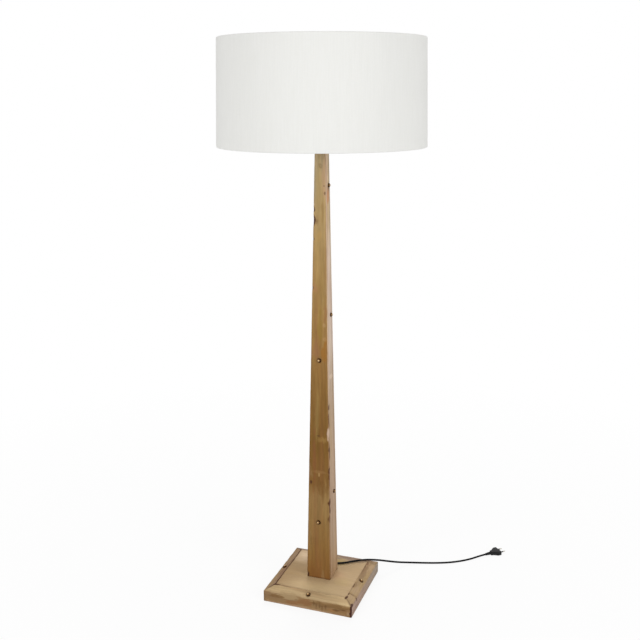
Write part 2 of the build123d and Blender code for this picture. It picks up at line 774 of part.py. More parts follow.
def plug_place():
    """The plug's own frame: origin at the end of the cord, X along the pins."""
    end = Vector(*CORD_ROUTE[-1])
    before = Vector(*CORD_ROUTE[-2])
    return Plane(origin=end, x_dir=(end.X - before.X, end.Y - before.Y, 0), z_dir=(0, 0, 1)).location


def plug_boot():
    """The ribbed strain relief behind the plug."""
    slim = CORD_DIAMETER / 2 + 0.9
    stout = slim + 1.6
    boot = turned((0, 0), (slim, 0), (stout, PLUG_BOOT), (0, PLUG_BOOT))
    for index in range(3):
        low = 4 + 5 * index
        boot -= ring(stout + 2, slim - 0.4, low, low + 2)
    return plug_place() * Rot(0, 90, 0) * boot


def plug_body():
    """The flat moulded plug."""
    nose = PLUG_WIDTH / 2
    tail = PLUG_THICKNESS / 2
    start = PLUG_BOOT
    end = PLUG_BOOT + PLUG_LENGTH
    outline = Polygon(
        (start, -tail),
        (start + 0.2 * PLUG_LENGTH, -tail),
        (end - 0.35 * PLUG_LENGTH, -nose),
        (end, -nose),
        (end, nose),
        (end - 0.35 * PLUG_LENGTH, nose),
        (start + 0.2 * PLUG_LENGTH, tail),
        (start, tail),
    )
    body = Pos(0, 0, -PLUG_THICKNESS / 2) * extrude(outline, PLUG_THICKNESS)
    body = fillet(body.edges().filter_by(Axis.Z), 2.5)
    rims = body.faces().filter_by(Axis.Z).edges()
    return plug_place() * chamfer(rims, 1.2)


def plug_pins():
    """Two round pins with rounded ends."""
    pin = Rot(0, 90, 0) * Cylinder(PIN_DIAMETER / 2, PIN_LENGTH)
    pin = fillet(pin.faces().sort_by(Axis.X)[-1].edges(), 0.45 * PIN_DIAMETER)
    middle = PLUG_BOOT + PLUG_LENGTH + PIN_LENGTH / 2
    return [plug_place() * Pos(middle, side * PIN_SPACING / 2, 0) * pin for side in (-1, 1)]


# Pieces, each one named as its file
FOOT_SCREWS = foot_screws()
BALLAST_SCREWS = ballast_screws()
PLATE_SCREWS = plate_screws()

board_holes = around(base_nail_place() * nail_hole())
frame_boards = [board - hole for board, hole in zip(around(base_board()), board_holes)]
column = column_boards()
column_nails = [place * nail() for places in column_nail_places() for place in places]
coil_line = coil_path()
route_line = route_path()

pieces = {
    "base_board_front": frame_boards[0],
    "base_board_right": frame_boards[1],
    "base_board_back": frame_boards[2],
    "base_board_left": frame_boards[3],
    "base_panel": base_panel(),
    "base_nails": around(base_nail_place() * nail()),
    "ballast_plate": ballast_plate(),
    "ballast_screws": [screw["solid"] for screw in BALLAST_SCREWS],
    "felt_pads": felt_pads(),
    "column_front": column[0],
    "column_right": column[1],
    "column_back": column[2],
    "column_left": column[3],
    "column_nails": column_nails,
    "foot_block": foot_block(),
    "foot_screws": [screw["solid"] for screw in FOOT_SCREWS],
    "top_plate": top_plate(),
    "top_plate_screws": [screw["solid"] for screw in PLATE_SCREWS],
    "nipple": nipple(),
    "lock_nut": lock_nut(),
    "holder_cap": holder_cap(),
    "holder_insert": holder_insert(),
    "holder_skirt": holder_skirt(),
    "screw_shell": screw_shell(),
    "centre_contact": centre_contact(),
    "seat_ring": seat_ring(),
    "clamp_ring": clamp_ring(),
    "switch_bar": switch_bar(),
    "bulb_tip": bulb_tip(),
    "bulb_insulator": bulb_insulator(),
    "bulb_cap": bulb_cap(),
    "bulb_globe": bulb_globe(),
    "shade_drum": shade_drum(),
    "shade_top_ring": shade_wire(-1),
    "shade_bottom_ring": shade_wire(1),
    "shade_top_hem": shade_hem(-1),
    "shade_bottom_hem": shade_bottom_hem(),
    "shade_fitter": shade_fitter(),
    "shade_spokes": shade_spokes(),
    "inner_flex": inner_flex(),
    "cord_bush": cord_bush(),
    "cord_coil": round_tube(coil_line),
    "cord_tie": cord_tie(),
    "cord_run": round_tube(route_line),
    "plug_boot": plug_boot(),
    "plug_body": plug_body(),
    "plug_pins": plug_pins(),
}

os.makedirs("parts", exist_ok=True)
for name, piece in pieces.items():
    shape = Compound(piece) if isinstance(piece, list) else piece
    export_step(shape, f"parts/{name}.step")

# What the cord measures
section_area = math.pi * CORD_DIAMETER**2 / 4
print("coil self gap:", round(coil_self_gap(), 2))
for name, line in (("cord_coil", coil_line), ("cord_run", route_line)):
    share = pieces[name].volume / (section_area * line.length)
    print(name, "length", round(line.length), "volume against section by length", round(share, 4))
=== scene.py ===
# Looks of the column floor lamp in metres, +Z up, front towards -Y.
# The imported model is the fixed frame, and its boards, nail heads, cloth, cord and threads are modelled here.

import json
import math
from collections import namedtuple

import bmesh
import bpy
from mathutils import Matrix, Vector, noise


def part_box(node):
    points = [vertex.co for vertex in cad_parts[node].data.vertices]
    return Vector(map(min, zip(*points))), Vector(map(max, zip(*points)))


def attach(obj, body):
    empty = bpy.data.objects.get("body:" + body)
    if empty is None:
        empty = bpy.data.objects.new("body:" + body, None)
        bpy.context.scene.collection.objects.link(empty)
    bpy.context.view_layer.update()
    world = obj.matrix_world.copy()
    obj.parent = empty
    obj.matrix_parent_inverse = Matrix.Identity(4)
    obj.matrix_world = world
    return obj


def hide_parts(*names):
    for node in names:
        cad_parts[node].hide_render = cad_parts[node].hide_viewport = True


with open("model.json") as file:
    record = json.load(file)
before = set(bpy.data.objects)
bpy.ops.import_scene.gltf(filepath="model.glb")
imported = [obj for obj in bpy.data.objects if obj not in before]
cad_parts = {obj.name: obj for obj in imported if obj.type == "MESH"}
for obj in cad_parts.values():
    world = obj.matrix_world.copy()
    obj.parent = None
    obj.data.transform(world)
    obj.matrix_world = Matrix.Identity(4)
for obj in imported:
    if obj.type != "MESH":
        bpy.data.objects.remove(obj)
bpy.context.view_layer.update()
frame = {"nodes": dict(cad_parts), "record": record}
NODES = frame["nodes"]
MM = 0.001

# Camera, in the photograph's square frame
LENS = 51.135
SENSOR = 36.0
LENS_SHIFT = -0.04
CAMERA_AZIMUTH = math.radians(19.7103)
CAMERA_TILT = math.radians(12.7926)
CAMERA_ROLL = math.radians(0.1187)
CAMERA_PLACE = Vector((-0.006085, -2.62275, 1.55008))

# Light: the surround's strength, and each lamp's place, size and power
AMBIENT = 0.52
LAMP_AIM = Vector((0, 0, 0.85))
LAMPS = (
    ("lamp_left", (-1.4, -3.0, 2.0), 1.6, 34.0),
    ("lamp_right", (2.9, -1.55, 2.0), 1.8, 37.0),
    ("lamp_back", (-0.6, 2.0, 3.4), 1.8, 45.0),
)

# Floor: half its side, its grey, and its share of white from near the lamp to far away
FLOOR_HALF = 30
FLOOR_GREY = (238, 238, 238)
FLOOR_FADE = (0.3, 2.2, 0.88, 1.0)
WHITE = (1, 1, 1, 1)

# The least angle of a sharp edge, on the pieces made here and on the frame's own
SHARP_MADE = math.radians(35)
SHARP_KEPT = math.radians(30)

# Column and base, where the frame's boxes don't give them, and quarter turns about the lamp's axis
COLUMN_BOARD = 0.010
COLUMN_TOP_HALF = 0.016
BEVEL_WIDTH = 0.027
BASE_EDGE_HEIGHT = 0.037
QUARTERS = [Matrix.Rotation(math.pi / 2 * quarter, 4, "Z") for quarter in range(4)]

# Boards: the spacing of sections, and how far wear, grime and sway reach
BOARD_PITCH = 0.006
WEAR_REACH = 0.0025
LEAST_WEAR = 0.0002
END_EASE = 0.0005
END_REACH = 0.006
END_GRIME = 1.6
SWAY_FROM_END = 0.03
SWAY_FROM_MIDDLE = 0.025

# Unevenness along a board: waves per metre, step from edge to edge and shift of the seed
WAVERS = {"wear": (60, 7.3, 0), "grime": (25, 3.1, 50), "sway": (14, 5.7, 90), "ripple": (48, 2.9, 70)}
BASE_WEAR_SEED = 20
PANEL_WEAR_SEED = 30
RIPPLE_SHARE = 0.6
CHIP_ROUGH = 0.4
GRIME_LEVEL = 0.75
GRIME_SWING = 0.5

# Worn edges, and the chips in them: place along the board, length, depth and grime
Edge = namedtuple("Edge", "width rough grime sway chips", defaults=(0.0, ()))
JOINT = Edge(0.0007, 0.6, 0.3)
JOINT_MARKS = (
    (0.227, 0.018, 0.0008, 0.95), (0.257, 0.02, 0.0008, 0.95), (0.368, 0.014, 0.0006, 0.8),
    (0.417, 0.05, 0.0006, 0.95), (0.505, 0.014, 0.0004, 0.7), (0.564, 0.024, 0.0005, 0.8),
)
MARKED_JOINT = Edge(0.0007, 0.6, 0.12, 0, JOINT_MARKS)
CORNER = Edge(0.0008, 0.6, 0.06, 0.0006)
SPLIT_CORNER = Edge(0.0008, 0.6, 0.06, 0.0006, ((0.476, 0.05, 0.003, 0.0),))
NICKS = (
    (0.008, 0.022, 0.0035, 0.9), (0.928, 0.01, 0.002, 0.9), (1.074, 0.009, 0.002, 0.9),
    (1.129, 0.034, 0.0035, 1.0), (1.159, 0.016, 0.002, 0.9),
)
NICKED_CORNER = Edge(0.001, 0.7, 0.2, 0.0006, NICKS)
UNDER_EDGE = Edge(0.0008, 0.5, 0.15)
ARRIS = Edge(0.0018, 0.9, 0.06)
FAINT_CHIPS = ((0.045, 0.05, 0.0006, 0.6), (0.215, 0.03, 0.0005, 0.45))
FAINT_RIM = Edge(0.0004, 0.8, 0.04, 0, FAINT_CHIPS)
DARK_RIM = Edge(0.0018, 0.6, 0.8, 0.001)
ROUGH_CHIPS = ((0.03, 0.016, 0.003, 1.0), (0.098, 0.014, 0.0016, 0.6), (0.243, 0.016, 0.0016, 0.6))
ROUGH_RIM = Edge(0.0006, 1.0, 0.1, 0, ROUGH_CHIPS)
WORN_RIM = Edge(0.0005, 0.9, 0.08)

# Boards of the column: the grime at the foot and at the top, and the four edges
COLUMN_TOP_GRIME = 0.3
COLUMN_BOARDS = {
    "front": (0.35, NICKED_CORNER, SPLIT_CORNER, MARKED_JOINT, JOINT),
    "right": (0.06, MARKED_JOINT, JOINT, JOINT, JOINT),
    "back": (0.3, CORNER, NICKED_CORNER, JOINT, JOINT),
    "left": (0.3, JOINT, MARKED_JOINT, JOINT, JOINT),
}

# Boards of the base: how far the arris sways, the inner rim, and the grime of both ends at their four edges
CLEAN_END = (0.3, 0.2, 0.5, 0.5)
INNER_MARK = (0.35, 0.15, 1.0, 0.5)
OPEN_CORNER = (1.0, 0.6, 0.2, 0.5)
BASE_BOARDS = {
    "front": (0.004, FAINT_RIM, INNER_MARK, OPEN_CORNER),
    "right": (0.002, ROUGH_RIM, OPEN_CORNER, CLEAN_END),
    "back": (0.0008, FAINT_RIM, CLEAN_END, INNER_MARK),
    "left": (0.0008, DARK_RIM, INNER_MARK, INNER_MARK),
}
PANEL_END_GRIME = ((0.2, 0.35, 0.05, 0.2), (0.2, 0.4, 0.3, 0.2))

# Nail heads: heights above the base's top and below the column's, and their shift on the column's sides
NAIL_DIAMETER = 0.013
NAIL_HEIGHT = 0.006
NAIL_RIM = 0.0007
NAIL_SINK = 0.0004
NAIL_FOOT = 0.97
NAIL_SEGMENTS = 28
NAIL_RINGS = 7
# The bright worn spot sits off the crown towards the upper left: rubbed bronze and also a painted highlight,
# with painted shade on the lower rim.
NAIL_POLISH_AND_HIGHLIGHT = (-0.15, 0.1)
NAIL_WEAR = 1.05
NAIL_SEED = 3.7
DENT_WAVES = 1.6
DENT_SPREAD = 0.05
DENT_DEPTH = 0.0004
FACE_NAIL_RISES = (0.189, 0.709)
SIDE_NAIL_RISES = (0.279, 0.844)
SIDE_NAIL_DROP = 0.115
SIDE_NAIL_SHIFT = 0.36

# Shade: the cloth round its wires, and the seam with its sections by share of the height
CLOTH = 0.0008
WIRE_FIT = 0.00015
HEM_LIP = 0.007
DRUM_SEGMENTS = 192
SEAM_WIDTH = 0.012
SEAM_THICKNESS = 0.0005
SEAM_SINK = 0.0002
SEAM_ANGLE = math.radians(109.7)
SEAM_STEPS = 6
SEAM_SHARES = (0, 0.002, 0.25, 0.5, 0.75, 0.998, 1)

# Cord: the coil behind the column, then the points of its free stretch in millimetres
CORD_DIAMETER = 0.006
CORD_STEP = 0.0065
CORD_SIDES = 4
CORD_RESOLUTION = 6
COIL_CENTRE = (-0.037, 0.0805)
COIL_TOP = 0.07275
COIL_INNER_RADIUS = 0.024
COIL_LAYERS = 4
COIL_LAYER_TURNS = 2
COIL_LAYER_EASE = 0.5
COIL_TURNS = 7 + 286 / 360
COIL_STEPS = 16
COIL_START = 0.006
COIL_LEAVE = 0.034
COIL_HEADING = 0.02
CORD_EXIT = (0.0, 0.05623, 0.07275)
CORD_ROUTE = [
    (44, 68, 52.9), (77, 94, 53.2), (110, 112.5, 54.8), (143, 131, 49.8), (169, 159, 35.8),
    (196, 194, 18.2), (224, 225, 6.2), (264, 242.5, 3.1), (309, 257, 3.1), (352, 275.5, 3.1),
    (388, 299, 3.1), (417, 324, 3.6), (441, 346.5, 7), (458, 363.5, 7),
]
STRAP_CORNER = 0.0016
STRAP_THICKNESS = 0.0007
STRAP_RIM = 0.0002
STRAP_STEPS = 5

# Plug pins: their heading, where they leave the plug along it, and their sleeves
PLUG_HEADING = (math.sqrt(0.5), math.sqrt(0.5), 0.0)
PIN_START = 0.6349
PIN_SLEEVE = 0.010
SLEEVE_RIM = 0.0004

# Screws: the diameters of head and shank, and the tip and cross recess as shares of them
BALLAST_SCREW = (0.008, 0.004)
PLATE_SCREW = (0.0056, 0.003)
SCREW_SEGMENTS = 48
SCREW_TIP = 0.2
RECESS_ARM = 0.62
RECESS_WAIST = 0.24
RECESS_WIDTH = 0.5
RECESS_DEPTH = 0.4
RECESS_FLOOR = 0.5

# Lampholder's sleeve: its flange, mouth and outside thread
SLEEVE_FLANGE = 0.0032
SLEEVE_SEGMENTS = 72
SHELL_FIT = 0.0002
LIP_WIDTH = 0.003
MOUTH_RISE = 0.002
THREAD_PITCH = 0.0025
THREAD_DEPTH = 0.0008
THREAD_ROWS = 8

# Felt feet
FELT_SOFTNESS = 0.0005
FELT_EYE = 0.0008
FELT_STEPS = 4
FELT_SEGMENTS = 40

# Wood's layers of noise: scale along and across the grain, shift of the seed, detail and roughness
GRAIN = {
    "streaks": (4, 56, 0, 2.5, 0.5),
    "tint": (4, 46, 11, 2, 0.5),
    "cloud": (9, 42, 41, 3, 0.5),
    "fibres": (16, 900, 23, 3, 0.6),
    "pores": (26, 1300, 61, 2, 0.5),
    "scuffs": (6, 30, 37, 5, 0.7),
    "blotch": (38, 110, 5, 3, 0.5),
}
COLUMN_SEED = 3
COLUMN_SEED_STEP = 5
BASE_SEED = 31
BASE_SEED_STEP = 4
PANEL_SEED = 57
BLOCK_SEED = 71
RING_STRETCH = (0.12, 1, 0.05)
RING_WAVES = {"Scale": 38, "Distortion": 6, "Detail": 3, "Detail Scale": 1.2}

# How strongly the grain shows, and the share of each layer in it
COLUMN_FIGURE = 0.16
BASE_FIGURE = 0.14
PANEL_FIGURE = 0.045
BLOCK_FIGURE = 0.2
TINT_SHARE = 2.1
CLOUD_SHARE = 1.2
RING_SHARE = 0.35
FIBRE_SHARE = 0.28
RIDGE_HEIGHT = 1.2
FIBRE_HEIGHT = 0.75

# Ranges of noise, and the ranges that they turn into
NOISE_SPAN = (0.3, 0.7)
TONE_SHIFT = 0.04
PORES = (0.62, 0.74, 0, 0.25)
SCUFFS = (0.6, 0.74, 0, 0.2)
PATCHES = (0.35, 0.6, 0.6, 1.25)
WOOD_ROUGHNESS = (0.75, 0.55)
WOOD_RELIEF = (0.0005, 0.4)
WOOD_GLOSS = 0.15

# Colours on screen, 0 to 255
PINE_PALE = (205, 182, 150)
PINE_OLIVE = (166, 140, 84)
PINE_RED = (142, 92, 58)
GRIME_AND_SHADE = (74, 42, 26)
NAIL_STAIN_AND_SHADE_BROWN = (84, 52, 26)
EDGE_BROWN = (80, 38, 8)
FACE_LIGHT = (168, 142, 104)
FACE_BROWN = (122, 90, 52)
FACE_RED = (140, 98, 60)
FACE_DARK = (98, 68, 36)
BEVEL_LIGHT = (190, 162, 132)
BEVEL_BROWN = (120, 92, 66)
MITRE_DARK = (60, 28, 22)
TINTS = ((PINE_RED, (0.54, 0.74)), (PINE_OLIVE, (0.46, 0.28)))
BLOCK_TONES = ((0, 176, 146, 104), (1, 186, 158, 116))
BLOCK_SPAN = (0.0, 0.15)

# Tones along each board from its first end; side tones are for the face beside the main one
COLUMN_TONES = {
    # The front darkens towards its foot, partly its own colour and partly painted shade; its last stop, at the
    # top, is painted shadow of the shade.
    "front": (
        (0, 137, 95, 47), (0.06, 139, 103, 53), (0.12, 138, 105, 58), (0.2, 145, 114, 68),
        (0.24, 125, 90, 42), (0.34, 121, 87, 37), (0.46, 136, 100, 51), (0.56, 149, 112, 62),
        (0.66, 160, 127, 74), (0.78, 170, 140, 90), (0.88, 172, 145, 100), (0.97, 178, 156, 119),
        (1, 156, 134, 100),
    ),
    # The right face's top stops are lightened: painted light over the shade's shadow.
    "right": (
        (0, 178, 146, 113), (0.1, 178, 150, 124), (0.32, 183, 155, 128), (0.47, 188, 164, 140),
        (0.56, 211, 190, 171), (0.65, 212, 189, 171), (0.78, 220, 196, 175), (0.88, 208, 180, 142),
        (1, 232, 208, 176),
    ),
    "back": ((0, 140, 106, 62), (0.4, 148, 114, 68), (0.7, 168, 138, 90), (1, 172, 148, 110)),
    "left": ((0, 156, 124, 88), (0.4, 164, 134, 98), (0.7, 190, 162, 128), (1, 190, 166, 134)),
}
COLUMN_SIDE_TONES = {
    "front": ((0, 150, 116, 80), (0.4, 156, 120, 84), (0.45, 206, 178, 152), (1, 214, 186, 158)),
    "back": ((0, 172, 142, 112), (0.47, 182, 156, 132), (0.56, 208, 188, 172), (1, 204, 184, 156)),
}
BASE_TONES = {
    "front": ((0, 178, 153, 114), (0.5, 186, 160, 120), (1, 197, 170, 128)),
    "right": ((0, 169, 142, 108), (0.5, 168, 141, 106), (1, 171, 144, 111)),
    "back": ((0, 150, 124, 106), (1, 146, 118, 100)),
    # The left bevel is darker than the front: painted shade on a face turned from the light.
    "left": ((0, 142, 114, 84), (1, 144, 116, 88)),
    "panel": ((0, 163, 135, 98), (0.5, 188, 162, 124), (1, 186, 159, 122)),
}
BASE_SIDE_TONES = {
    "front": ((0, 140, 111, 78), (0.5, 150, 120, 82), (1, 141, 109, 71)),
    "right": ((0, 166, 138, 122), (0.45, 162, 137, 120), (1, 158, 146, 130)),
    "back": ((0, 152, 126, 94), (1, 150, 124, 92)),
    "left": ((0, 148, 122, 98), (1, 146, 120, 96)),
}

# Single marks of colour on the wood, mostly stains and a few painted light and shade, in millimetres: how
# softly they end, and how uneven their rims are
StainAndLight = namedtuple("StainAndLight", "middle reach colour strength softness", defaults=(0.6,))
THROUGH = 500
CRISP = 0.3
SOFT = 1.0
STAIN_RIM = 1.15
RAGGED_RIM = 0.45
SOFT_RIM = 0.12


def marks(axis, depth, *rows):
    """Marks that go through a board along one axis, with place, reach and look on the other two."""
    made = []
    for across, up, width, height, *look in rows:
        middle = [across, up]
        middle.insert(axis, depth)
        reach = [width, height]
        reach.insert(axis, THROUGH)
        made.append(StainAndLight(middle, reach, *look))
    return tuple(made)


# Marks on the column: middle and reach across and up its faces, colour and strength
FRONT_MARKS = marks(
    1, 0,
    (3, 1334, 6.2, 8.5, (134, 108, 72), 0.5), (3, 1334, 3, 4.2, (174, 152, 114), 0.6),
    (12.5, 1300, 6, 70, (192, 152, 120), 0.45), (13, 1277, 2.4, 3.4, (100, 74, 48), 0.7),
    (15, 1256, 2.4, 4, (100, 74, 48), 0.7), (-14, 1290, 5, 70, (156, 142, 110), 0.5),
    (8, 1205, 4, 30, (142, 110, 62), 0.4), (-4, 1130, 8, 20, (180, 144, 86), 0.45),
    (-18, 1223, 3, 4.5, (200, 178, 148), 0.8), (-16.8, 1208, 4.6, 5.5, GRIME_AND_SHADE, 0.9),
    (-8.5, 1180, 7, 16, (152, 120, 80), 0.5), (-15.5, 1178, 6.6, 13, GRIME_AND_SHADE, 0.95),
    (-19.4, 1123, 3.2, 4.5, GRIME_AND_SHADE, 0.9), (-21.8, 977, 3.2, 4.5, GRIME_AND_SHADE, 0.85),
    (-12, 978, 12, 15, (168, 120, 84), 0.45), (18.5, 905, 5.5, 36, (148, 102, 64), 0.5),
    (1, 862, 8, 56, (148, 118, 52), 0.6), (16.5, 866, 6, 8, (180, 146, 98), 0.5),
    (16.5, 824, 6, 6, (178, 142, 92), 0.5), (-12, 790, 12, 30, (150, 106, 74), 0.45),
    (16, 784, 9, 34, (152, 102, 38), 0.75), (-14.2, 440, 5.5, 110, (134, 84, 50), 0.5),
    (15, 509, 16, 12, (152, 118, 64), 0.75), (-3, 520.5, 8, 2, (84, 56, 32), 0.7),
    (0, 404, 28, 5, (150, 114, 68), 0.45), (1.6, 395, 2.8, 6, (176, 142, 92), 0.6),
    (12, 350, 12, 30, (112, 76, 34), 0.4), (-24.8, 368, 3.6, 6, GRIME_AND_SHADE, 0.85),
    (-36.5, 56, 6, 9, GRIME_AND_SHADE, 0.85),
)
COLUMN_STAINS_AND_SHADE = {
    "front": FRONT_MARKS,
    "right": marks(
        0, 0,
        (2, 1297, 12, 10, (228, 202, 166), 0.5), (16, 1240, 6, 90, (150, 128, 98), 0.5),
        # The dark mark at 1272 up, beside the top nail, is painted shade of the nail head.
        (2, 1248, 14, 24, (194, 134, 96), 0.8), (4, 1272, 6, 9, GRIME_AND_SHADE, 0.75),
        (0, 704, 20, 8, (228, 206, 182), 0.5),
    ),
    "back": marks(1, 0, (6, 660, 6, 11, GRIME_AND_SHADE, 0.7)),
    "left": marks(0, 0, (4, 520, 5, 9, GRIME_AND_SHADE, 0.7)),
}
# The dark ring round each nail head: partly a stain in the wood, partly painted shade of the head.
NAIL_STAIN_AND_SHADE_REACH = 7.9
NAIL_STAIN_AND_SHADE_STRENGTH = 0.65

# Front board's right edge: its pale split, and the height, half length and strength of its dark stretches
SPLIT_STAIN = StainAndLight((30, -30, 525), (3.6, 12, 24), (208, 180, 158), 0.9)
EDGE_MARKS = (
    (254, 13, 0.55), (281, 14, 0.85), (306, 13, 0.95), (380, 26, 0.75),
    (412, 10, 0.95), (478, 8, 0.7), (575, 18, 0.6), (611, 8, 0.8),
)
EDGE_MARK_MIDDLE = 5.5
EDGE_MARK_REACH = (6, 5.6)

# Marks on the base, with patches of painted light on the panel: across and up its front face, across and back
# on its bevels and panel
FACE_DEPTH = -142
FACE_SMEAR = StainAndLight((-62, FACE_DEPTH, 33), (34, 10, 12), FACE_LIGHT, 0.85, CRISP)
FACE_FLECKS = ((22, 26), (30, 17), (41, 22), (49, 13), (60, 20))
FRONT_LEFT_MARK = StainAndLight((-114, -115.5, 0), (13, 4.5, THROUGH), GRIME_AND_SHADE, 0.9)
FRONT_RIGHT_MARK = StainAndLight((117, -113, 0), (4.5, 10, THROUGH), GRIME_AND_SHADE, 0.95)
OPEN_MITRE = StainAndLight((141.5, -142, 14), (5, 5, 26), MITRE_DARK, 1.0, 0.4)
MITRE_TOP = StainAndLight((140.5, -133, 38), (4.5, 10, 5), MITRE_DARK, 0.9)
ARRIS_NICK = StainAndLight((142.5, -92, 34), (5, 5, 6), GRIME_AND_SHADE, 0.75)
FRONT_FACE_STAINS = marks(
    1, FACE_DEPTH,
    (-96, 26, 22, 4.5, FACE_BROWN, 0.75, CRISP), (-50, 14, 24, 7, FACE_RED, 0.65, CRISP),
    (-5, 24, 22, 10.5, FACE_RED, 0.7, CRISP), (80, 28, 60, 6, FACE_BROWN, 0.6, CRISP),
    (77, 14, 14, 5, (172, 122, 72), 0.4, 0.8), (94, 17, 14, 3.2, FACE_DARK, 0.6),
    (116, 21, 14, 3.2, FACE_DARK, 0.6), (-10, 4, 140, 4.5, (190, 156, 126), 0.55),
    (131, 10, 4, 15, (184, 160, 134), 0.35, 0.9),
    *((*fleck, 3, 9, FACE_DARK, 0.5) for fleck in FACE_FLECKS),
)
RIGHT_BEVEL_STAINS = marks(
    2, 0,
    (126, -105, 12, 16, BEVEL_LIGHT, 0.4), (129, -60, 12, 22, BEVEL_LIGHT, 0.35),
    (119, -35, 6, 20, BEVEL_BROWN, 0.4), (124, 45, 11, 46, BEVEL_BROWN, 0.45),
    (117, 55, 4, 40, BEVEL_BROWN, 0.5), (135, 100, 8, 30, BEVEL_LIGHT, 0.35),
    (118, 100, 4, 12, (108, 72, 52), 0.7), (117, -45, 3, 6, (96, 66, 44), 0.7),
    (124, -86.5, 8, 3.6, (108, 80, 58), 0.55), (136, -84.5, 7, 3.4, (116, 88, 66), 0.4),
)
LEFT_BEVEL_STAINS = marks(2, 0, (-124, -20, 10, 70, (122, 84, 62), 0.4))
PANEL_STAINS_AND_LIGHT = marks(
    2, 0,
    # The first two patches, pale behind and in front of the column, are painted light over the column's
    # shadow.
    (-80, 85, 66, 54, (232, 204, 170), 0.95, SOFT), (10, -92, 110, 36, (210, 184, 140), 0.75, SOFT),
    (52, -4, 32, 30, (200, 164, 128), 0.5, SOFT), (80, -34, 34, 30, (188, 162, 112), 0.5, SOFT),
    (30, 80, 26, 30, (182, 158, 96), 0.6, SOFT), (60, 112, 62, 20, (154, 130, 114), 0.85),
    (-85, -10, 40, 50, (166, 138, 100), 0.5, SOFT),
)
BASE_STAINS_AND_LIGHT = {
    "front": (FACE_SMEAR, *FRONT_FACE_STAINS, FRONT_LEFT_MARK, FRONT_RIGHT_MARK, OPEN_MITRE),
    "right": (*RIGHT_BEVEL_STAINS, ARRIS_NICK, MITRE_TOP, FRONT_RIGHT_MARK, OPEN_MITRE),
    "back": (),
    "left": (FRONT_LEFT_MARK, *LEFT_BEVEL_STAINS),
    "panel": (*PANEL_STAINS_AND_LIGHT, FRONT_LEFT_MARK, FRONT_RIGHT_MARK),
}

# Plain finishes: dark and light tone, size and depth of the grain in millimetres, roughness, other values
METAL = {"Metallic": 1.0}
SATIN = {"Specular IOR Level": 0.25}
DULL = {"Specular IOR Level": 0.12}
FINISHES = {
    "steel": ((120, 120, 122), (168, 168, 168), 1.2, 0.1, (0.3, 0.5), METAL),
    "screw_zinc": ((150, 148, 140), (190, 188, 180), 0.6, 0.1, (0.3, 0.45), METAL),
    "brass": ((176, 138, 70), (206, 170, 96), 1, 0.1, (0.22, 0.4), METAL),
    "felt": ((52, 46, 42), (84, 76, 70), 0.6, 0.6, (0.9, 1.0), {"Sheen Weight": 0.4}),
    "holder_plastic": ((20, 20, 21), (34, 34, 35), 0.9, 0.08, (0.32, 0.46)),
    "holder_ceramic": ((214, 208, 196), (232, 228, 218), 2, 0.1, (0.25, 0.4)),
    "bulb_black_glass": ((16, 16, 18), (28, 28, 30), 2, 0.05, (0.1, 0.2)),
    "bulb_metal": ((168, 166, 162), (204, 202, 198), 0.8, 0.08, (0.25, 0.4), METAL),
    "bulb_opal": ((240, 239, 235), (244, 243, 239), 4, 0.02, (0.22, 0.28), {"Coat Weight": 0.3}),
    "shade_wire": ((227, 227, 224), (236, 236, 233), 0.8, 0.05, (0.35, 0.5)),
    "cord_black": ((4, 3, 3), (9, 8, 8), 1.2, 0.08, (0.55, 0.7), DULL),
    "strap": ((14, 14, 15), (44, 44, 46), 0.4, 0.3, (0.8, 0.95)),
    "plug_black": ((10, 10, 10), (20, 20, 20), 0.7, 0.1, (0.5, 0.65), SATIN),
}
CLOUD_SIZE = 0.12
FINISH_STOPS = (0.35, 0.65)

# Cloth: its tones, the reach that turns angles into lengths, and the scales of its threads
CLOTH_TONES = ((0.3, 232, 232, 228), (0.7, 238, 238, 235))
CLOTH_SURFACE = {"Specular IOR Level": 0.15, "Sheen Weight": 0.15}
CLOTH_ROUGHNESS = 0.9
CLOTH_RELIEF = 0.0003
CLOTH_REACH = 0.3
WARP = (1400, 90, 1)
WEFT = (90, 1400, 1)
SLUB = (260, 14, 1)
SLUB_SHARE = 0.4

# Bronze of the nails, its bright spot partly a painted highlight, and metal of the pins
BRONZE_TONES = ((0.1, 54, 33, 16), (0.45, 116, 84, 50), (0.9, 200, 172, 130))
BRONZE_ROUGHNESS = (0.2, 0.9, 0.38, 0.16)
BRONZE_RELIEF = (0.00025, 0.6)
BRONZE_SPOTS = 700
SPOT_WEAR = 0.25
PIN_TONES = ((0.3, 176, 172, 162), (0.7, 214, 210, 200))
PIN_BLACK = (26, 26, 27)
PIN_ROUGHNESS = (0.22, 0.4)
PIN_RELIEF = (0.00005, 0.3)
PIN_SCRATCHES = 3000


# Shader helpers
def screen(*levels):
    """A linear colour from screen levels."""
    shares = [level / 255 for level in levels]
    linear = [share / 12.92 if share < 0.04 else ((share + 0.055) / 1.055) ** 2.4 for share in shares]
    return (*linear, 1.0)


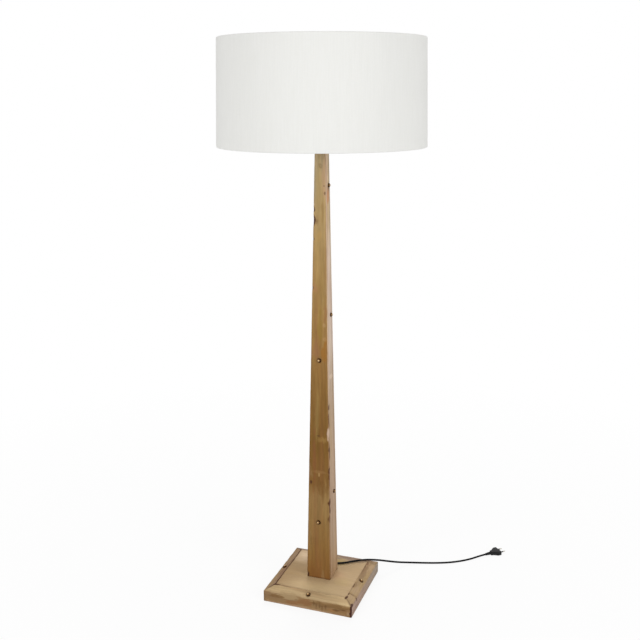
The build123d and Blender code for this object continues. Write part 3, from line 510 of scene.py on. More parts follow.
class Nodes:
    """A node tree in the making."""

    def __init__(self, tree):
        self.tree = tree

    def give(self, socket, value):
        """Sets a socket to a value or links it to an output."""
        if isinstance(value, bpy.types.NodeSocket):
            self.tree.links.new(value, socket)
        else:
            socket.default_value = value

    def node(self, kind, inputs=None, **properties):
        """Adds a node with its properties and inputs."""
        made = self.tree.nodes.new("ShaderNode" + kind)
        for name, value in properties.items():
            setattr(made, name, value)
        for name, value in (inputs or {}).items():
            self.give(made.inputs[name], value)
        return made

    def math(self, operation, first, second=0.0, clamp=False):
        """A sum on two numbers."""
        made = self.node("Math", {0: first, 1: second}, operation=operation, use_clamp=clamp)
        return made.outputs[0]

    def show(self, output, share, lit, white):
        """Shows a lit shader, with a share of a white one over it."""
        mixed = self.node("MixShader", {0: share, 1: lit.outputs[0], 2: white.outputs[0]})
        self.give(self.tree.nodes[output].inputs["Surface"], mixed.outputs[0])

    def seen_rays(self):
        """1 for rays that are seen, mirrored or come through glass."""
        path = self.node("LightPath").outputs
        seen = self.math("ADD", path["Is Camera Ray"], path["Is Glossy Ray"])
        return self.math("ADD", seen, path["Is Transmission Ray"], clamp=True)


class Shader(Nodes):
    """A material in the making, with one surface."""

    def __init__(self, name, surface=None):
        self.material = bpy.data.materials.new(name)
        self.material.use_nodes = True
        super().__init__(self.material.node_tree)
        self.surface = self.tree.nodes["Principled BSDF"]
        self.place = self.node("TexCoord").outputs["Object"]
        for socket, value in (surface or {}).items():
            self.set(socket, value)

    def set(self, socket, value):
        """Sets or links one socket of the surface."""
        self.give(self.surface.inputs[socket], value)

    def vector(self, operation, first, second):
        """A sum on two vectors, as a node."""
        return self.node("VectorMath", {0: first, 1: second}, operation=operation)

    def length(self, vector):
        """The length of a vector."""
        return self.vector("LENGTH", vector, (0, 0, 0)).outputs["Value"]

    def axis(self, index):
        """One coordinate of the place."""
        return self.node("SeparateXYZ", {0: self.place}).outputs[index]

    def layer(self, name):
        """A number that the mesh holds at its points."""
        return self.node("Attribute", attribute_name=name).outputs["Fac"]

    def mapped(self, scale, seed, vector=None):
        """Coordinates scaled along each axis and moved by a seed."""
        shift = (1.7 * seed, 2.3 * seed, 0.9 * seed)
        inputs = {"Vector": vector or self.place, "Scale": scale, "Location": shift}
        return self.node("Mapping", inputs).outputs[0]

    def noise(self, vector, detail=2.0, roughness=0.5):
        """Cloudy noise at the size of its coordinates."""
        inputs = {"Vector": vector, "Scale": 1.0, "Detail": detail, "Roughness": roughness}
        return self.node("TexNoise", inputs).outputs[0]

    def range(self, value, low, high, new_low=0.0, new_high=1.0):
        """A number moved from one range into another."""
        inputs = {0: value, 1: low, 2: high, 3: new_low, 4: new_high}
        return self.node("MapRange", inputs).outputs[0]

    def ramp(self, factor, *stops):
        """A colour from stops, each a position and a screen colour."""
        made = self.node("ValToRGB", {0: factor})
        elements = made.color_ramp.elements
        while len(elements) < len(stops):
            elements.new(1.0)
        for element, (position, *colour) in zip(elements, stops):
            element.position = position
            element.color = screen(*colour)
        return made.outputs[0]

    def mix(self, factor, first, second, blend="MIX"):
        """One colour laid over another."""
        inputs = {0: factor, 6: first, 7: second}
        return self.node("Mix", inputs, data_type="RGBA", blend_type=blend).outputs[2]

    def done(self, colour, roughness, height, depth, strength=0.5):
        """The material with its colour, roughness and fine relief."""
        relief = self.node("Bump", {"Height": height, "Distance": depth, "Strength": strength})
        self.set("Base Color", colour)
        self.set("Roughness", roughness)
        self.set("Normal", relief.outputs[0])
        return self.material


# Materials
def stain_and_light_share(shader, patch, blotch):
    """How strongly a mark shows at each place, out to its uneven rim."""
    middle = [MM * part for part in patch.middle]
    offset = shader.vector("SUBTRACT", shader.place, middle).outputs[0]
    shrink = [1 / (MM * reach) for reach in patch.reach]
    away = shader.length(shader.vector("MULTIPLY", offset, shrink).outputs[0])
    rim = SOFT_RIM if patch.softness == SOFT else RAGGED_RIM
    away = shader.math("ADD", away, shader.range(blotch, *NOISE_SPAN, -rim, rim))
    return shader.range(away, STAIN_RIM, STAIN_RIM - patch.softness, 0, patch.strength)


def wood(name, grain, span, tones, seed, figure, stains_and_light=(), side_tones=None):
    """Old pine: tones along the grain, streaks, rings, fibres, grime and single marks, some tones and marks
    being painted light and shade.
    """
    shader = Shader(name, {"Specular IOR Level": WOOD_GLOSS})

    def stretched(along, across, shift):
        scale = [across] * 3
        scale[grain] = along
        return shader.mapped(scale, seed + shift)

    layers = {}
    for layer, (along, across, shift, detail, roughness) in GRAIN.items():
        layers[layer] = shader.noise(stretched(along, across, shift), detail, roughness)
    wave = {"Vector": stretched(*RING_STRETCH), **RING_WAVES}
    rings = shader.node("TexWave", wave, wave_type="RINGS", rings_direction="XYZ"[grain]).outputs[1]
    drift = shader.range(layers["scuffs"], *NOISE_SPAN, -TONE_SHIFT, TONE_SHIFT)
    place = shader.math("ADD", shader.range(shader.axis(grain), *span), drift)
    colour = shader.ramp(place, *tones)
    if side_tones:
        colour = shader.mix(shader.layer("side"), colour, shader.ramp(place, *side_tones))
    for tone, ends in TINTS:
        share = shader.range(layers["tint"], *ends, 0, TINT_SHARE * figure)
        colour = shader.mix(share, colour, screen(*tone))
    overlays = (
        (figure, layers["streaks"]),
        (CLOUD_SHARE * figure, layers["cloud"]),
        (RING_SHARE * figure, rings),
        (FIBRE_SHARE, layers["fibres"]),
    )
    for share, layer in overlays:
        colour = shader.mix(share, colour, layer, "OVERLAY")
    colour = shader.mix(shader.range(layers["pores"], *PORES), colour, screen(*GRIME_AND_SHADE))
    colour = shader.mix(shader.range(layers["scuffs"], *SCUFFS), colour, screen(*PINE_PALE))
    # Stains, and a few patches of painted light and shade, laid over the tones.
    for patch in stains_and_light:
        colour = shader.mix(stain_and_light_share(shader, patch, layers["blotch"]), colour, screen(*patch.colour))
    patchy = shader.range(layers["scuffs"], *PATCHES)
    grime = shader.math("MULTIPLY", shader.layer("grime"), patchy, clamp=True)
    colour = shader.mix(grime, colour, screen(*GRIME_AND_SHADE))
    roughness = shader.range(layers["streaks"], *NOISE_SPAN, *WOOD_ROUGHNESS)
    ridges = shader.math("MULTIPLY", rings, RIDGE_HEIGHT * figure)
    height = shader.math("ADD", shader.math("MULTIPLY", layers["fibres"], FIBRE_HEIGHT), ridges)
    return shader.done(colour, roughness, height, *WOOD_RELIEF)


def fabric(name):
    """White cloth: warp and weft round the drum, with a soft slub."""
    shader = Shader(name, CLOTH_SURFACE)
    turn = shader.math("ARCTAN2", shader.axis(1), shader.axis(0))
    round_drum = shader.math("MULTIPLY", turn, CLOTH_REACH)
    cloth = shader.node("CombineXYZ", {0: round_drum, 1: shader.axis(2)}).outputs[0]
    warp = shader.noise(shader.mapped(WARP, 1, cloth))
    weft = shader.noise(shader.mapped(WEFT, 2, cloth))
    slub = shader.noise(shader.mapped(SLUB, 3, cloth), detail=3)
    threads = shader.math("MULTIPLY", shader.math("ADD", warp, weft), 0.5)
    even = shader.math("MULTIPLY", threads, 1 - SLUB_SHARE)
    weave = shader.math("ADD", even, shader.math("MULTIPLY", slub, SLUB_SHARE))
    return shader.done(shader.ramp(weave, *CLOTH_TONES), CLOTH_ROUGHNESS, threads, CLOTH_RELIEF)


def speckled(name, dark, light, size, depth, roughness, surface=None):
    """A plain finish: two near tones, uneven gloss and a fine relief."""
    shader = Shader(name, surface)
    grain = shader.noise(shader.mapped((1 / (MM * size),) * 3, 4), detail=3, roughness=0.6)
    cloud = shader.noise(shader.mapped((CLOUD_SIZE / (MM * size),) * 3, 7), detail=3)
    blend = shader.math("MULTIPLY", shader.math("ADD", grain, cloud), 0.5)
    low, high = FINISH_STOPS
    colour = shader.ramp(blend, (low, *dark), (high, *light))
    return shader.done(colour, shader.range(cloud, *NOISE_SPAN, *roughness), grain, MM * depth)


def worn_bronze(name):
    """Old bronze: dark at the rim of a head, rubbed bright near its crown, the bright spot partly a painted
    highlight.
    """
    shader = Shader(name, METAL)
    spots = shader.noise(shader.mapped((BRONZE_SPOTS,) * 3, 3), detail=4, roughness=0.65)
    wear = shader.math("ADD", shader.layer("wear"), shader.range(spots, *NOISE_SPAN, -SPOT_WEAR, SPOT_WEAR))
    roughness = shader.range(wear, *BRONZE_ROUGHNESS)
    return shader.done(shader.ramp(wear, *BRONZE_TONES), roughness, spots, *BRONZE_RELIEF)


def pin_metal(name):
    """Bright pins that carry a dark sleeve next to the plug."""
    shader = Shader(name)
    scratches = shader.noise(shader.mapped((PIN_SCRATCHES,) * 3, 2))
    along = shader.vector("DOT_PRODUCT", shader.place, PLUG_HEADING).outputs["Value"]
    sleeve_end = PIN_START + PIN_SLEEVE
    bare = shader.range(along, sleeve_end, sleeve_end + SLEEVE_RIM)
    shader.set("Metallic", bare)
    colour = shader.mix(bare, screen(*PIN_BLACK), shader.ramp(scratches, *PIN_TONES))
    return shader.done(colour, shader.range(scratches, *NOISE_SPAN, *PIN_ROUGHNESS), scratches, *PIN_RELIEF)


# Mesh helpers
def placed(name, data):
    """An object in the scene that shows some data."""
    made = bpy.data.objects.new(name, data)
    bpy.context.scene.collection.objects.link(made)
    return made


def finish(mesh, material, sharp):
    """Gives a mesh its material, smooth between sharp edges."""
    mesh.materials.clear()
    mesh.materials.append(material)
    mesh.shade_smooth()
    mesh.set_sharp_from_angle(angle=sharp)


def finished(name, bm, material):
    """An object with a finish from a bmesh."""
    bmesh.ops.recalc_face_normals(bm, faces=bm.faces)
    mesh = bpy.data.meshes.new(name)
    bm.to_mesh(mesh)
    bm.free()
    finish(mesh, material, SHARP_MADE)
    return placed(name, mesh)


def stand_in(piece, body, slot, *nodes):
    """Puts a piece on a body and in place of its nodes; slot is not used."""
    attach(piece, body)
    if nodes:
        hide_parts(*nodes)
    return piece


def loop_grid(bm, rows, closed):
    """Faces between rows of points that each go round; closed joins the last to the first."""
    grid = [[bm.verts.new(point) for point in row] for row in rows]
    pairs = list(zip(grid, grid[1:])) + ([(grid[-1], grid[0])] if closed else [])
    for first, second in pairs:
        for index in range(len(first)):
            after = (index + 1) % len(first)
            bm.faces.new((first[index], first[after], second[after], second[index]))
    return grid


def capped(bm, rows):
    """A skin over rows of points, with a face at each end."""
    grid = loop_grid(bm, rows, closed=False)
    bm.faces.new(grid[0])
    bm.faces.new(grid[-1])
    return grid


def full_turn(segments):
    """Angles that go once round."""
    return [2 * math.pi * index / segments for index in range(segments)]


def ring(reaches, height, turns, middle=(0.0, 0.0)):
    """Points of a level loop, with a reach for each angle."""
    points = []
    for reach, turn in zip(reaches, turns):
        points.append((middle[0] + reach * math.cos(turn), middle[1] + reach * math.sin(turn), height))
    return points


def circles(profile, turns, middle=(0.0, 0.0)):
    """Level circles from (radius, height) points."""
    return [ring([radius] * len(turns), height, turns, middle) for radius, height in profile]


def turned(bm, profile, segments, middle=(0.0, 0.0)):
    """A ring from a closed loop of (radius, height) points."""
    loop_grid(bm, circles(profile, full_turn(segments), middle), closed=True)


def arc(middle, radius, start, end, steps=8):
    """Points of a round stretch of a profile, in degrees."""
    angles = [math.radians(start + (end - start) * index / steps) for index in range(steps + 1)]
    return [(middle[0] + radius * math.cos(angle), middle[1] + radius * math.sin(angle)) for angle in angles]


def smooth(share):
    """An eased step from 0 to 1."""
    share = min(max(share, 0), 1)
    return share * share * (3 - 2 * share)


# Boards
def waver(kind, place, index, seed):
    """Uneven wear at a place along one edge of a board."""
    rate, step, shift = WAVERS[kind]
    return noise.noise(Vector((rate * place, step * index, seed + shift)))


def edge_cut(edge, place, index, seed):
    """How deeply an edge is worn at a place, and its grime."""
    uneven = waver("wear", place, index, seed)
    cut = edge.width * (1 + edge.rough * uneven)
    grime = edge.grime * (GRIME_LEVEL + GRIME_SWING * waver("grime", place, index, seed))
    for middle, length, depth, dirt in edge.chips:
        share = max(0, 1 - (2 * (place - middle) / length) ** 2)
        cut += depth * share * (1 + CHIP_ROUGH * uneven)
        grime = max(grime, dirt * min(1, 2 * share))
    return max(cut, LEAST_WEAR), min(max(grime, 0), 1)


def end_share(away):
    """How much of an end's grime shows at a distance from it."""
    return min(1, max(0, END_GRIME - END_GRIME * away / END_REACH))


def board_row(corners, edges, sides, end_grime, place, length, seed):
    """One section of a board: four points at each corner, with their grime and face."""
    row = []
    near_end = min(place, length - place)
    ease = END_EASE if near_end < END_EASE / 2 else 0
    fade = smooth(near_end / SWAY_FROM_END) * smooth(abs(place - length / 2) / SWAY_FROM_MIDDLE)
    for index, (corner, edge) in enumerate(zip(corners, edges)):
        back = (corners[index - 1] - corner).normalized()
        ahead = (corners[(index + 1) % len(corners)] - corner).normalized()
        cut, grime = edge_cut(edge, place, index, seed)
        at_ends = max(end_share(place) * end_grime[0][index], end_share(length - place) * end_grime[1][index])
        grime = max(grime, at_ends)
        drift = waver("sway", place, index, seed) + RIPPLE_SHARE * waver("ripple", place, index, seed)
        middle = corner + back * (edge.sway * fade * drift) + (back + ahead) * ease
        reach = cut + WEAR_REACH
        row.append((middle + back * reach, at_ends, sides[index - 1]))
        row.append((middle + back * cut, grime, sides[index - 1]))
        row.append((middle + ahead * cut, grime, sides[index]))
        row.append((middle + ahead * reach, at_ends, sides[index]))
    return row


def board(node, slot, start, end, edges, sides, end_grime, material, seed):
    """A board between two end sections, with worn edges and eased ends."""
    length = max((last - first).length for first, last in zip(start, end))
    count = math.ceil(length / BOARD_PITCH)
    places = [length * index / count for index in range(1, count)]
    near_end = [0, END_EASE, END_REACH / 2, END_REACH]
    places += near_end + [length - place for place in near_end]
    rows = []
    for place in sorted(places):
        corners = [first.lerp(last, place / length) for first, last in zip(start, end)]
        rows.append(board_row(corners, edges, sides, end_grime, place, length, seed))
    bm = bmesh.new()
    grime = bm.verts.layers.float.new("grime")
    side = bm.verts.layers.float.new("side")
    grid = capped(bm, [[point for point, *values in row] for row in rows])
    for verts, row in zip(grid, rows):
        for vert, (point, *values) in zip(verts, row):
            vert[grime], vert[side] = values
    stand_in(finished("board_" + node, bm, material), "stand", slot, node)


def section(outline, quarter=0):
    """The corners of a board's end after some quarter turns."""
    return [QUARTERS[quarter] @ Vector(corner) for corner in outline]


# Column
def column_half(level):
    """Half the column's width at a height."""
    low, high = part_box("column_front")
    return high.x + (COLUMN_TOP_HALF - high.x) * (level - low.z) / (high.z - low.z)


def edge_stains():
    """The marks along the front board's right edge."""
    stains_and_light = [SPLIT_STAIN]
    for level, length, strength in EDGE_MARKS:
        half = column_half(MM * level) / MM
        middle = (half, EDGE_MARK_MIDDLE - half, level)
        stains_and_light.append(StainAndLight(middle, (*EDGE_MARK_REACH, length), EDGE_BROWN, strength, CRISP))
    return tuple(stains_and_light)


def column_boards():
    """Front and back boards across the full width, side boards between them."""
    low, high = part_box("column_front")
    wide = []
    narrow = []
    for half, level in ((high.x, low.z), (COLUMN_TOP_HALF, high.z)):
        inner = half - COLUMN_BOARD
        across = ((-half, -half), (half, -half), (half, -inner), (-half, -inner))
        between = ((half, -inner), (half, inner), (inner, inner), (inner, -inner))
        wide.append([(x, y, level) for x, y in across])
        narrow.append([(x, y, level) for x, y in between])
    nails = column_nail_places()
    for index, (side, (foot_grime, *edges)) in enumerate(COLUMN_BOARDS.items()):
        outlines, sides = (narrow, (0, 0, 0, 0)) if index % 2 else (wide, (0, 1, 0, 1))
        start, end = (section(outline, index // 2 * 2) for outline in outlines)
        stains_and_light = COLUMN_STAINS_AND_SHADE[side] + tuple(nail_stain_and_shade(place) for place in nails[index])
        if side == "front":
            stains_and_light += edge_stains()
        seed = COLUMN_SEED + COLUMN_SEED_STEP * index
        looks = (COLUMN_TONES[side], seed, COLUMN_FIGURE, stains_and_light, COLUMN_SIDE_TONES.get(side))
        material = wood("pine_column_" + side, 2, (low.z, high.z), *looks)
        end_grime = ((foot_grime,) * 4, (COLUMN_TOP_GRIME,) * 4)
        board("column_" + side, "column_wood", start, end, edges, sides, end_grime, material, index)


# Base
def base_boards():
    """Four mitred boards with their bevels, and the panel inside them."""
    low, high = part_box("base_board_front")
    half = -low.y
    inner = half - BEVEL_WIDTH
    profile = ((half, low.z), (half, BASE_EDGE_HEIGHT), (inner, high.z), (inner, low.z))
    for quarter, (side, (sway, rim, *end_grime)) in enumerate(BASE_BOARDS.items()):
        start = section([(-out, -out, level) for out, level in profile], quarter)
        end = section([(out, -out, level) for out, level in profile], quarter)
        span = (-half, half) if quarter < 2 else (half, -half)
        stains_and_light = BASE_STAINS_AND_LIGHT[side] + (nail_stain_and_shade(base_nail_places()[quarter]),)
        seed = BASE_SEED + BASE_SEED_STEP * quarter
        looks = (BASE_TONES[side], seed, BASE_FIGURE, stains_and_light, BASE_SIDE_TONES[side])
        material = wood("pine_base_" + side, quarter % 2, span, *looks)
        edges = (UNDER_EDGE, ARRIS._replace(sway=sway), rim, UNDER_EDGE)
        wear = (edges, (1, 0, 0, 0), end_grime)
        board("base_board_" + side, "base_wood", start, end, *wear, material, BASE_WEAR_SEED + quarter)
    low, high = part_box("base_panel")
    outline = ((-inner, low.z), (-inner, high.z), (inner, high.z), (inner, low.z))
    front = section([(x, -inner, level) for x, level in outline])
    back = section([(x, inner, level) for x, level in outline])
    looks = (BASE_TONES["panel"], PANEL_SEED, PANEL_FIGURE, BASE_STAINS_AND_LIGHT["panel"])
    material = wood("pine_base_panel", 0, (-inner, inner), *looks)
    wear = ((UNDER_EDGE, DARK_RIM, WORN_RIM, UNDER_EDGE), (0, 0, 0, 0), PANEL_END_GRIME)
    board("base_panel", "base_wood", front, back, *wear, material, PANEL_WEAR_SEED)


# Nails
def nail_head(bm, layer, place, seed):
    """One hammered dome with a thin rim, most worn beside its crown, where a painted highlight also sits."""
    radius = NAIL_DIAMETER / 2
    dome = radius - NAIL_RIM / 2
    rings = [(radius * NAIL_FOOT, -NAIL_SINK, 0.0), (radius, NAIL_RIM / 3, 0.0), (dome, NAIL_RIM, 0.1)]
    for index in range(1, NAIL_RINGS):
        rise = math.pi / 2 * index / NAIL_RINGS
        level = NAIL_RIM + (NAIL_HEIGHT - NAIL_RIM) * math.sin(rise)
        rings.append((dome * math.cos(rise), level, math.sin(rise)))
    rows = []
    for reach, level, wear in rings:
        row = []
        for turn in full_turn(NAIL_SEGMENTS):
            out = Vector((math.cos(turn), math.sin(turn), 0))
            dent = noise.noise(DENT_WAVES * out + Vector((0, 0, seed + wear)))
            height = min(level + DENT_DEPTH * wear * dent, NAIL_HEIGHT)
            row.append(place @ (reach * (1 + DENT_SPREAD * dent) * out + Vector((0, 0, height))))
        rows.append(row)
    grid = loop_grid(bm, rows, closed=False)
    crown = bm.verts.new(place @ Vector((0, 0, NAIL_HEIGHT)))
    for index, vert in enumerate(grid[-1]):
        bm.faces.new((vert, grid[-1][(index + 1) % NAIL_SEGMENTS], crown))
    bm.faces.new(grid[0])
    polished_and_highlit = place @ Vector((NAIL_POLISH_AND_HIGHLIGHT[0] * radius, NAIL_POLISH_AND_HIGHLIGHT[1] * radius, NAIL_HEIGHT))
    for vert in [crown] + sum(grid, []):
        vert[layer] = max(0, 1 - (vert.co - polished_and_highlit).length / radius / NAIL_WEAR)


def nail_stain_and_shade(place):
    """The dark ring round a nail head: a stain that it leaves in the wood, and painted shade of the head."""
    return StainAndLight(place.translation / MM, (NAIL_STAIN_AND_SHADE_REACH,) * 3, NAIL_STAIN_AND_SHADE_BROWN, NAIL_STAIN_AND_SHADE_STRENGTH)


def nail_place(point, out, quarter):
    """A nail's axes at a point of the front, after some quarter turns."""
    lean = Vector(out).to_track_quat("Z", "Y").to_matrix().to_4x4()
    return QUARTERS[quarter] @ Matrix.Translation(point) @ lean


def column_nail_places():
    """Each face's nails: two on the front and back, three on the sides."""
    low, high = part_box("column_front")
    lean = (high.x - COLUMN_TOP_HALF) / (high.z - low.z)
    face_heights = [low.z + rise for rise in FACE_NAIL_RISES]
    side_heights = [low.z + rise for rise in SIDE_NAIL_RISES] + [high.z - SIDE_NAIL_DROP]
    places = []
    for quarter, shift in enumerate((0, SIDE_NAIL_SHIFT, 0, -SIDE_NAIL_SHIFT)):
        heights = side_heights if shift else face_heights
        points = [(shift * column_half(height), -column_half(height), height) for height in heights]
        places.append([nail_place(point, (0, -1, lean), quarter) for point in points])
    return places


def base_nail_places():
    """A nail in the middle of each bevel."""
    low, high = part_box("base_board_front")
    rise = high.z - BASE_EDGE_HEIGHT
    point = (0, low.y + BEVEL_WIDTH / 2, high.z - rise / 2)
    return [nail_place(point, (0, -rise, BEVEL_WIDTH), quarter) for quarter in range(4)]


def nail_heads(node, places):
    """All nail heads of one node."""
    bm = bmesh.new()
    layer = bm.verts.layers.float.new("wear")
    for index, place in enumerate(places):
        nail_head(bm, layer, place, NAIL_SEED * index)
    stand_in(finished("heads_" + node, bm, MATERIALS["nail_bronze"]), "stand", "nail_bronze", node)


# Shade
def wire_ring(node):
    """The centre radius and height of a wire ring, and the wire's own radius."""
    low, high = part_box(node)
    wire = (high.z - low.z) / 2
    return high.x - wire, low.z + wire, wire


def shade_cloth():
    """One sheet that turns in round both wires and ends in a lip inside."""
    low_radius, low_level, wire = wire_ring("shade_bottom_ring")
    high_radius, high_level, wire = wire_ring("shade_top_ring")
    near = wire + WIRE_FIT
    far = near + CLOTH

    def face(reach):
        line = [(low_radius - reach, low_level + HEM_LIP)]
        line += arc((low_radius, low_level), reach, 180, 360)
        line += arc((high_radius, high_level), reach, 0, 180)
        return line + [(high_radius - reach, high_level - HEM_LIP)]

    bm = bmesh.new()
    turned(bm, face(far) + face(near)[::-1], DRUM_SEGMENTS)
    cloth = finished("shade_cloth", bm, MATERIALS["shade_cloth"])
    seam = shade_seam(low_radius + far, low_level, high_radius + far, high_level)
    stand_in(cloth, "shade", "shade_fabric", "shade_drum", "shade_top_hem", "shade_bottom_hem")


def shade_seam(low_radius, low_level, high_radius, high_level):
    """The lap of the cloth at the back of the drum."""
    half_turn = SEAM_WIDTH / 2 / low_radius
    turns = [SEAM_ANGLE + half_turn * (2 * index / SEAM_STEPS - 1) for index in range(SEAM_STEPS + 1)]
    rows = []
    for share in SEAM_SHARES:
        radius = low_radius + (high_radius - low_radius) * share
        level = low_level + (high_level - low_level) * share
        lift = 0 if share in (0, 1) else SEAM_THICKNESS
        reaches = [radius] + [radius + lift] * (SEAM_STEPS - 1) + [radius]
        reaches += [radius - SEAM_SINK] * len(turns)
        rows.append(ring(reaches, level, turns + turns[::-1]))
    bm = bmesh.new()
    capped(bm, rows)
    return stand_in(finished("shade_seam", bm, MATERIALS["shade_cloth"]), "shade", "shade_fabric")


# Lampholder
def threaded_sleeve():
    """The lampholder's sleeve with its outside thread."""
    low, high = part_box("holder_skirt")
    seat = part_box("seat_ring")[0].z
    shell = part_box("screw_shell")[1]
    bore = shell.x + SHELL_FIT
    lip = bore + LIP_WIDTH
    mouth = shell.z + MOUTH_RISE
    crest = high.x - SLEEVE_FLANGE
    count = int((high.z - seat) / THREAD_PITCH * THREAD_ROWS)
    turns = full_turn(SLEEVE_SEGMENTS)
    rows = circles([(bore, low.z), (high.x, low.z), (high.x, seat), (crest, seat)], turns)
    for index in range(1, count):
        level = seat + (high.z - seat) * index / count
        phases = [(level / THREAD_PITCH - turn / (2 * math.pi)) % 1 for turn in turns]
        rows.append(ring([crest - THREAD_DEPTH * abs(2 * phase - 1) for phase in phases], level, turns))
    rows += circles([(crest - THREAD_DEPTH, high.z), (lip, high.z), (lip, mouth), (bore, mouth)], turns)
    bm = bmesh.new()
    loop_grid(bm, rows, closed=True)
    made = finished("threaded_sleeve", bm, MATERIALS["holder_plastic"])
    stand_in(made, "stand", "holder_plastic", "holder_skirt")


# Screws
def screw(bm, middle, head_level, way, length, size):
    """One countersunk screw with a cross recess; way is 1 for up and -1 for down."""
    head, shank = (diameter / 2 for diameter in size)
    turns = full_turn(SCREW_SEGMENTS)
    in_arm = [abs(math.sin(2 * turn)) < RECESS_WIDTH for turn in turns]
    recess = [head * (RECESS_ARM if inside else RECESS_WAIST) for inside in in_arm]
    rows = [
        ([RECESS_FLOOR * reach for reach in recess], RECESS_DEPTH * head),
        (recess, 0),
        ([head] * len(turns), 0),
        ([shank] * len(turns), head - shank),
        ([shank] * len(turns), length - shank),
        ([SCREW_TIP * shank] * len(turns), length),
    ]
    capped(bm, [ring(reaches, head_level + way * depth, turns, middle) for reaches, depth in rows])


def screws(node, size, way):
    """All screws of a node, at the corners or ends of its box."""
    low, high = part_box(node)
    head = size[0] / 2
    bm = bmesh.new()
    for x in sorted({round(low.x + head, 6), round(high.x - head, 6)}):
        for y in (low.y + head, high.y - head):
            screw(bm, (x, y), low.z if way > 0 else high.z, way, high.z - low.z, size)
    stand_in(finished("screws_" + node, bm, MATERIALS["screw_zinc"]), "stand", "steel", node)


# Feet
def felt_feet():
    """Felt discs with soft rims under the mitres."""
    low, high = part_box("felt_pads")
    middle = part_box("base_board_front")[0].y + BEVEL_WIDTH / 2
    soft = FELT_SOFTNESS
    radius = high.x + middle - soft
    profile = [(FELT_EYE, low.z)]
    profile += arc((radius, low.z + soft), soft, -90, 0, FELT_STEPS)
    profile += arc((radius, high.z - soft), soft, 0, 90, FELT_STEPS)
    profile += [(FELT_EYE, high.z)]
    bm = bmesh.new()
    for x in (-middle, middle):
        for y in (-middle, middle):
            turned(bm, profile, FELT_SEGMENTS, (x, y))
    stand_in(finished("felt_feet", bm, MATERIALS["felt"]), "stand", "felt", "felt_pads")


# Cord
def coil_point(turns, cut=1.0):
    """A point on the coil's line, in turns from its top layer down."""
    span = COIL_LAYER_TURNS
    sway = abs(turns % (2 * span) - span)
    radius = (COIL_INNER_RADIUS + CORD_STEP * sway) / cut
    height = COIL_TOP
    for layer in range(1, COIL_LAYERS):
        height -= CORD_STEP * smooth((turns - layer * span) / COIL_LAYER_EASE + 0.5)
    return Vector(ring([radius], height, [2 * math.pi * turns], COIL_CENTRE)[0])


def cord_points():
    """Control points: out of the bush, round the coil and along the free stretch."""
    # The spline runs inside its control points by this share
    cut = 0.75 + 0.25 * math.cos(2 * math.pi / COIL_STEPS)
    points = [Vector(CORD_EXIT), Vector((0, COIL_CENTRE[1] - COIL_START, COIL_TOP))]
    points += [coil_point(index / COIL_STEPS, cut) for index in range(1, int(COIL_TURNS * COIL_STEPS) + 1)]
    heading = coil_point(COIL_TURNS + COIL_HEADING) - coil_point(COIL_TURNS - COIL_HEADING)
    heading = Vector((heading.x, heading.y, 0)).normalized()
    leave = coil_point(COIL_TURNS) + heading * CORD_DIAMETER
    points += [leave, leave + heading * COIL_LEAVE]
    return points + [MM * Vector(point) for point in CORD_ROUTE]


def cord():
    """The black flex, one smooth spline from the bush to the plug."""
    curve = bpy.data.curves.new("cord_flex", "CURVE")
    curve.dimensions = "3D"
    curve.bevel_depth = CORD_DIAMETER / 2
    curve.bevel_resolution = CORD_SIDES
    curve.resolution_u = CORD_RESOLUTION
    spline = curve.splines.new("NURBS")
    points = cord_points()
    spline.points.add(len(points) - 1)
    for control, point in zip(spline.points, points):
        control.co = (*point, 1.0)
    spline.order_u = 3
    spline.use_endpoint_u = True
    curve.materials.append(MATERIALS["cord_black"])
    flex = placed("cord_flex", curve)
    stand_in(flex, "stand", "cord_black", "cord_coil", "cord_run")
    pieces = [coil_strap()] + [NODES[name] for name in ("plug_boot", "plug_body", "plug_pins")]


def towards(start, end, depth):
    """A number moved towards another one by a depth."""
    return start + math.copysign(depth, end - start)


def coil_strap():
    """The strap round the coil, a thin band with soft corners."""
    low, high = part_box("cord_tie")
    middle = (low + high) / 2
    loop = []
    for x, z, start in ((high.x, high.z, 0), (low.x, high.z, 90), (low.x, low.z, 180), (high.x, low.z, 270)):
        corner = (towards(x, middle.x, STRAP_CORNER), towards(z, middle.z, STRAP_CORNER))
        loop += arc(corner, STRAP_CORNER, start, start + 90, STRAP_STEPS)
    rim = STRAP_RIM
    thick = STRAP_THICKNESS
    outside = ((low.y, rim), (low.y + rim, 0), (high.y - rim, 0), (high.y, rim))
    inside = ((high.y, thick - rim), (high.y - rim, thick), (low.y + rim, thick), (low.y, thick - rim))
    rows = []
    for y, depth in outside + inside:
        rows.append([(towards(x, middle.x, depth), y, towards(z, middle.z, depth)) for x, z in loop])
    bm = bmesh.new()
    loop_grid(bm, rows, closed=True)
    return stand_in(finished("coil_strap", bm, MATERIALS["strap"]), "stand", "cord_black", "cord_tie")


# Stage, light and camera
def stage():
    """A white floor that keeps the lamp's shadow."""
    bm = bmesh.new()
    bmesh.ops.create_grid(bm, x_segments=1, y_segments=1, size=FLOOR_HALF)
    shader = Shader("floor", {"Base Color": screen(*FLOOR_GREY), "Roughness": 0.9, "Specular IOR Level": 0.1})
    white = shader.node("Emission", {"Color": WHITE, "Strength": 1.0})
    fade = shader.range(shader.length(shader.place), *FLOOR_FADE)
    share = shader.math("MULTIPLY", shader.seen_rays(), fade)
    shader.show("Material Output", share, shader.surface, white)
    finished("floor", bm, shader.material)


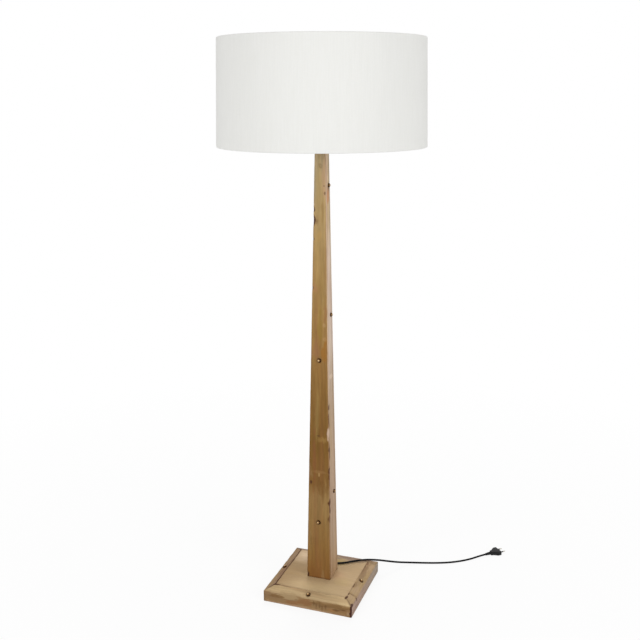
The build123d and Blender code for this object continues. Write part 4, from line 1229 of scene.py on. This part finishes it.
def studio():
    """A white surround that lights softly, and three wide lamps."""
    world = bpy.data.worlds.new("studio")
    world.use_nodes = True
    bpy.context.scene.world = world
    nodes = Nodes(world.node_tree)
    soft = world.node_tree.nodes["Background"]
    nodes.give(soft.inputs["Color"], WHITE)
    nodes.give(soft.inputs["Strength"], AMBIENT)
    white = nodes.node("Background", {"Color": WHITE, "Strength": 1.0})
    nodes.show("World Output", nodes.seen_rays(), soft, white)
    for name, place, size, power in LAMPS:
        lamp = bpy.data.lights.new(name, "AREA")
        lamp.shape = "DISK"
        lamp.size = size
        lamp.energy = power
        made = placed(name, lamp)
        made.location = place
        made.rotation_euler = (LAMP_AIM - Vector(place)).to_track_quat("-Z", "Y").to_euler()


def photo_camera():
    """The photograph's camera."""
    data = bpy.data.cameras.new("camera")
    data.lens = LENS
    data.sensor_width = SENSOR
    data.shift_y = LENS_SHIFT
    camera = placed("camera", data)
    turn = Matrix.Rotation(CAMERA_AZIMUTH, 4, "Z")
    tilt = Matrix.Rotation(math.pi / 2 - CAMERA_TILT, 4, "X")
    roll = Matrix.Rotation(-CAMERA_ROLL, 4, "Z")
    camera.matrix_world = Matrix.Translation(turn @ CAMERA_PLACE) @ turn @ tilt @ roll
    bpy.context.scene.camera = camera


MATERIALS = {name: speckled(name, *values) for name, values in FINISHES.items()}
MATERIALS["nail_bronze"] = worn_bronze("nail_bronze")
MATERIALS["pin_metal"] = pin_metal("pin_metal")
MATERIALS["shade_cloth"] = fabric("shade_cloth")
MATERIALS["block_wood"] = wood("pine_block", 2, BLOCK_SPAN, BLOCK_TONES, BLOCK_SEED, BLOCK_FIGURE)

for subpart in frame["record"]["subparts"]:
    slot = subpart["material_slot"]
    if slot in MATERIALS:
        finish(NODES[subpart["node"]].data, MATERIALS[slot], SHARP_KEPT)

column_boards()
base_boards()
nail_heads("column_nails", sum(column_nail_places(), []))
nail_heads("base_nails", base_nail_places())
shade_cloth()
threaded_sleeve()
screws("ballast_screws", BALLAST_SCREW, 1)
screws("top_plate_screws", PLATE_SCREW, -1)
felt_feet()
cord()
stage()
studio()
photo_camera()
bpy.context.scene.view_settings.view_transform = "Standard"
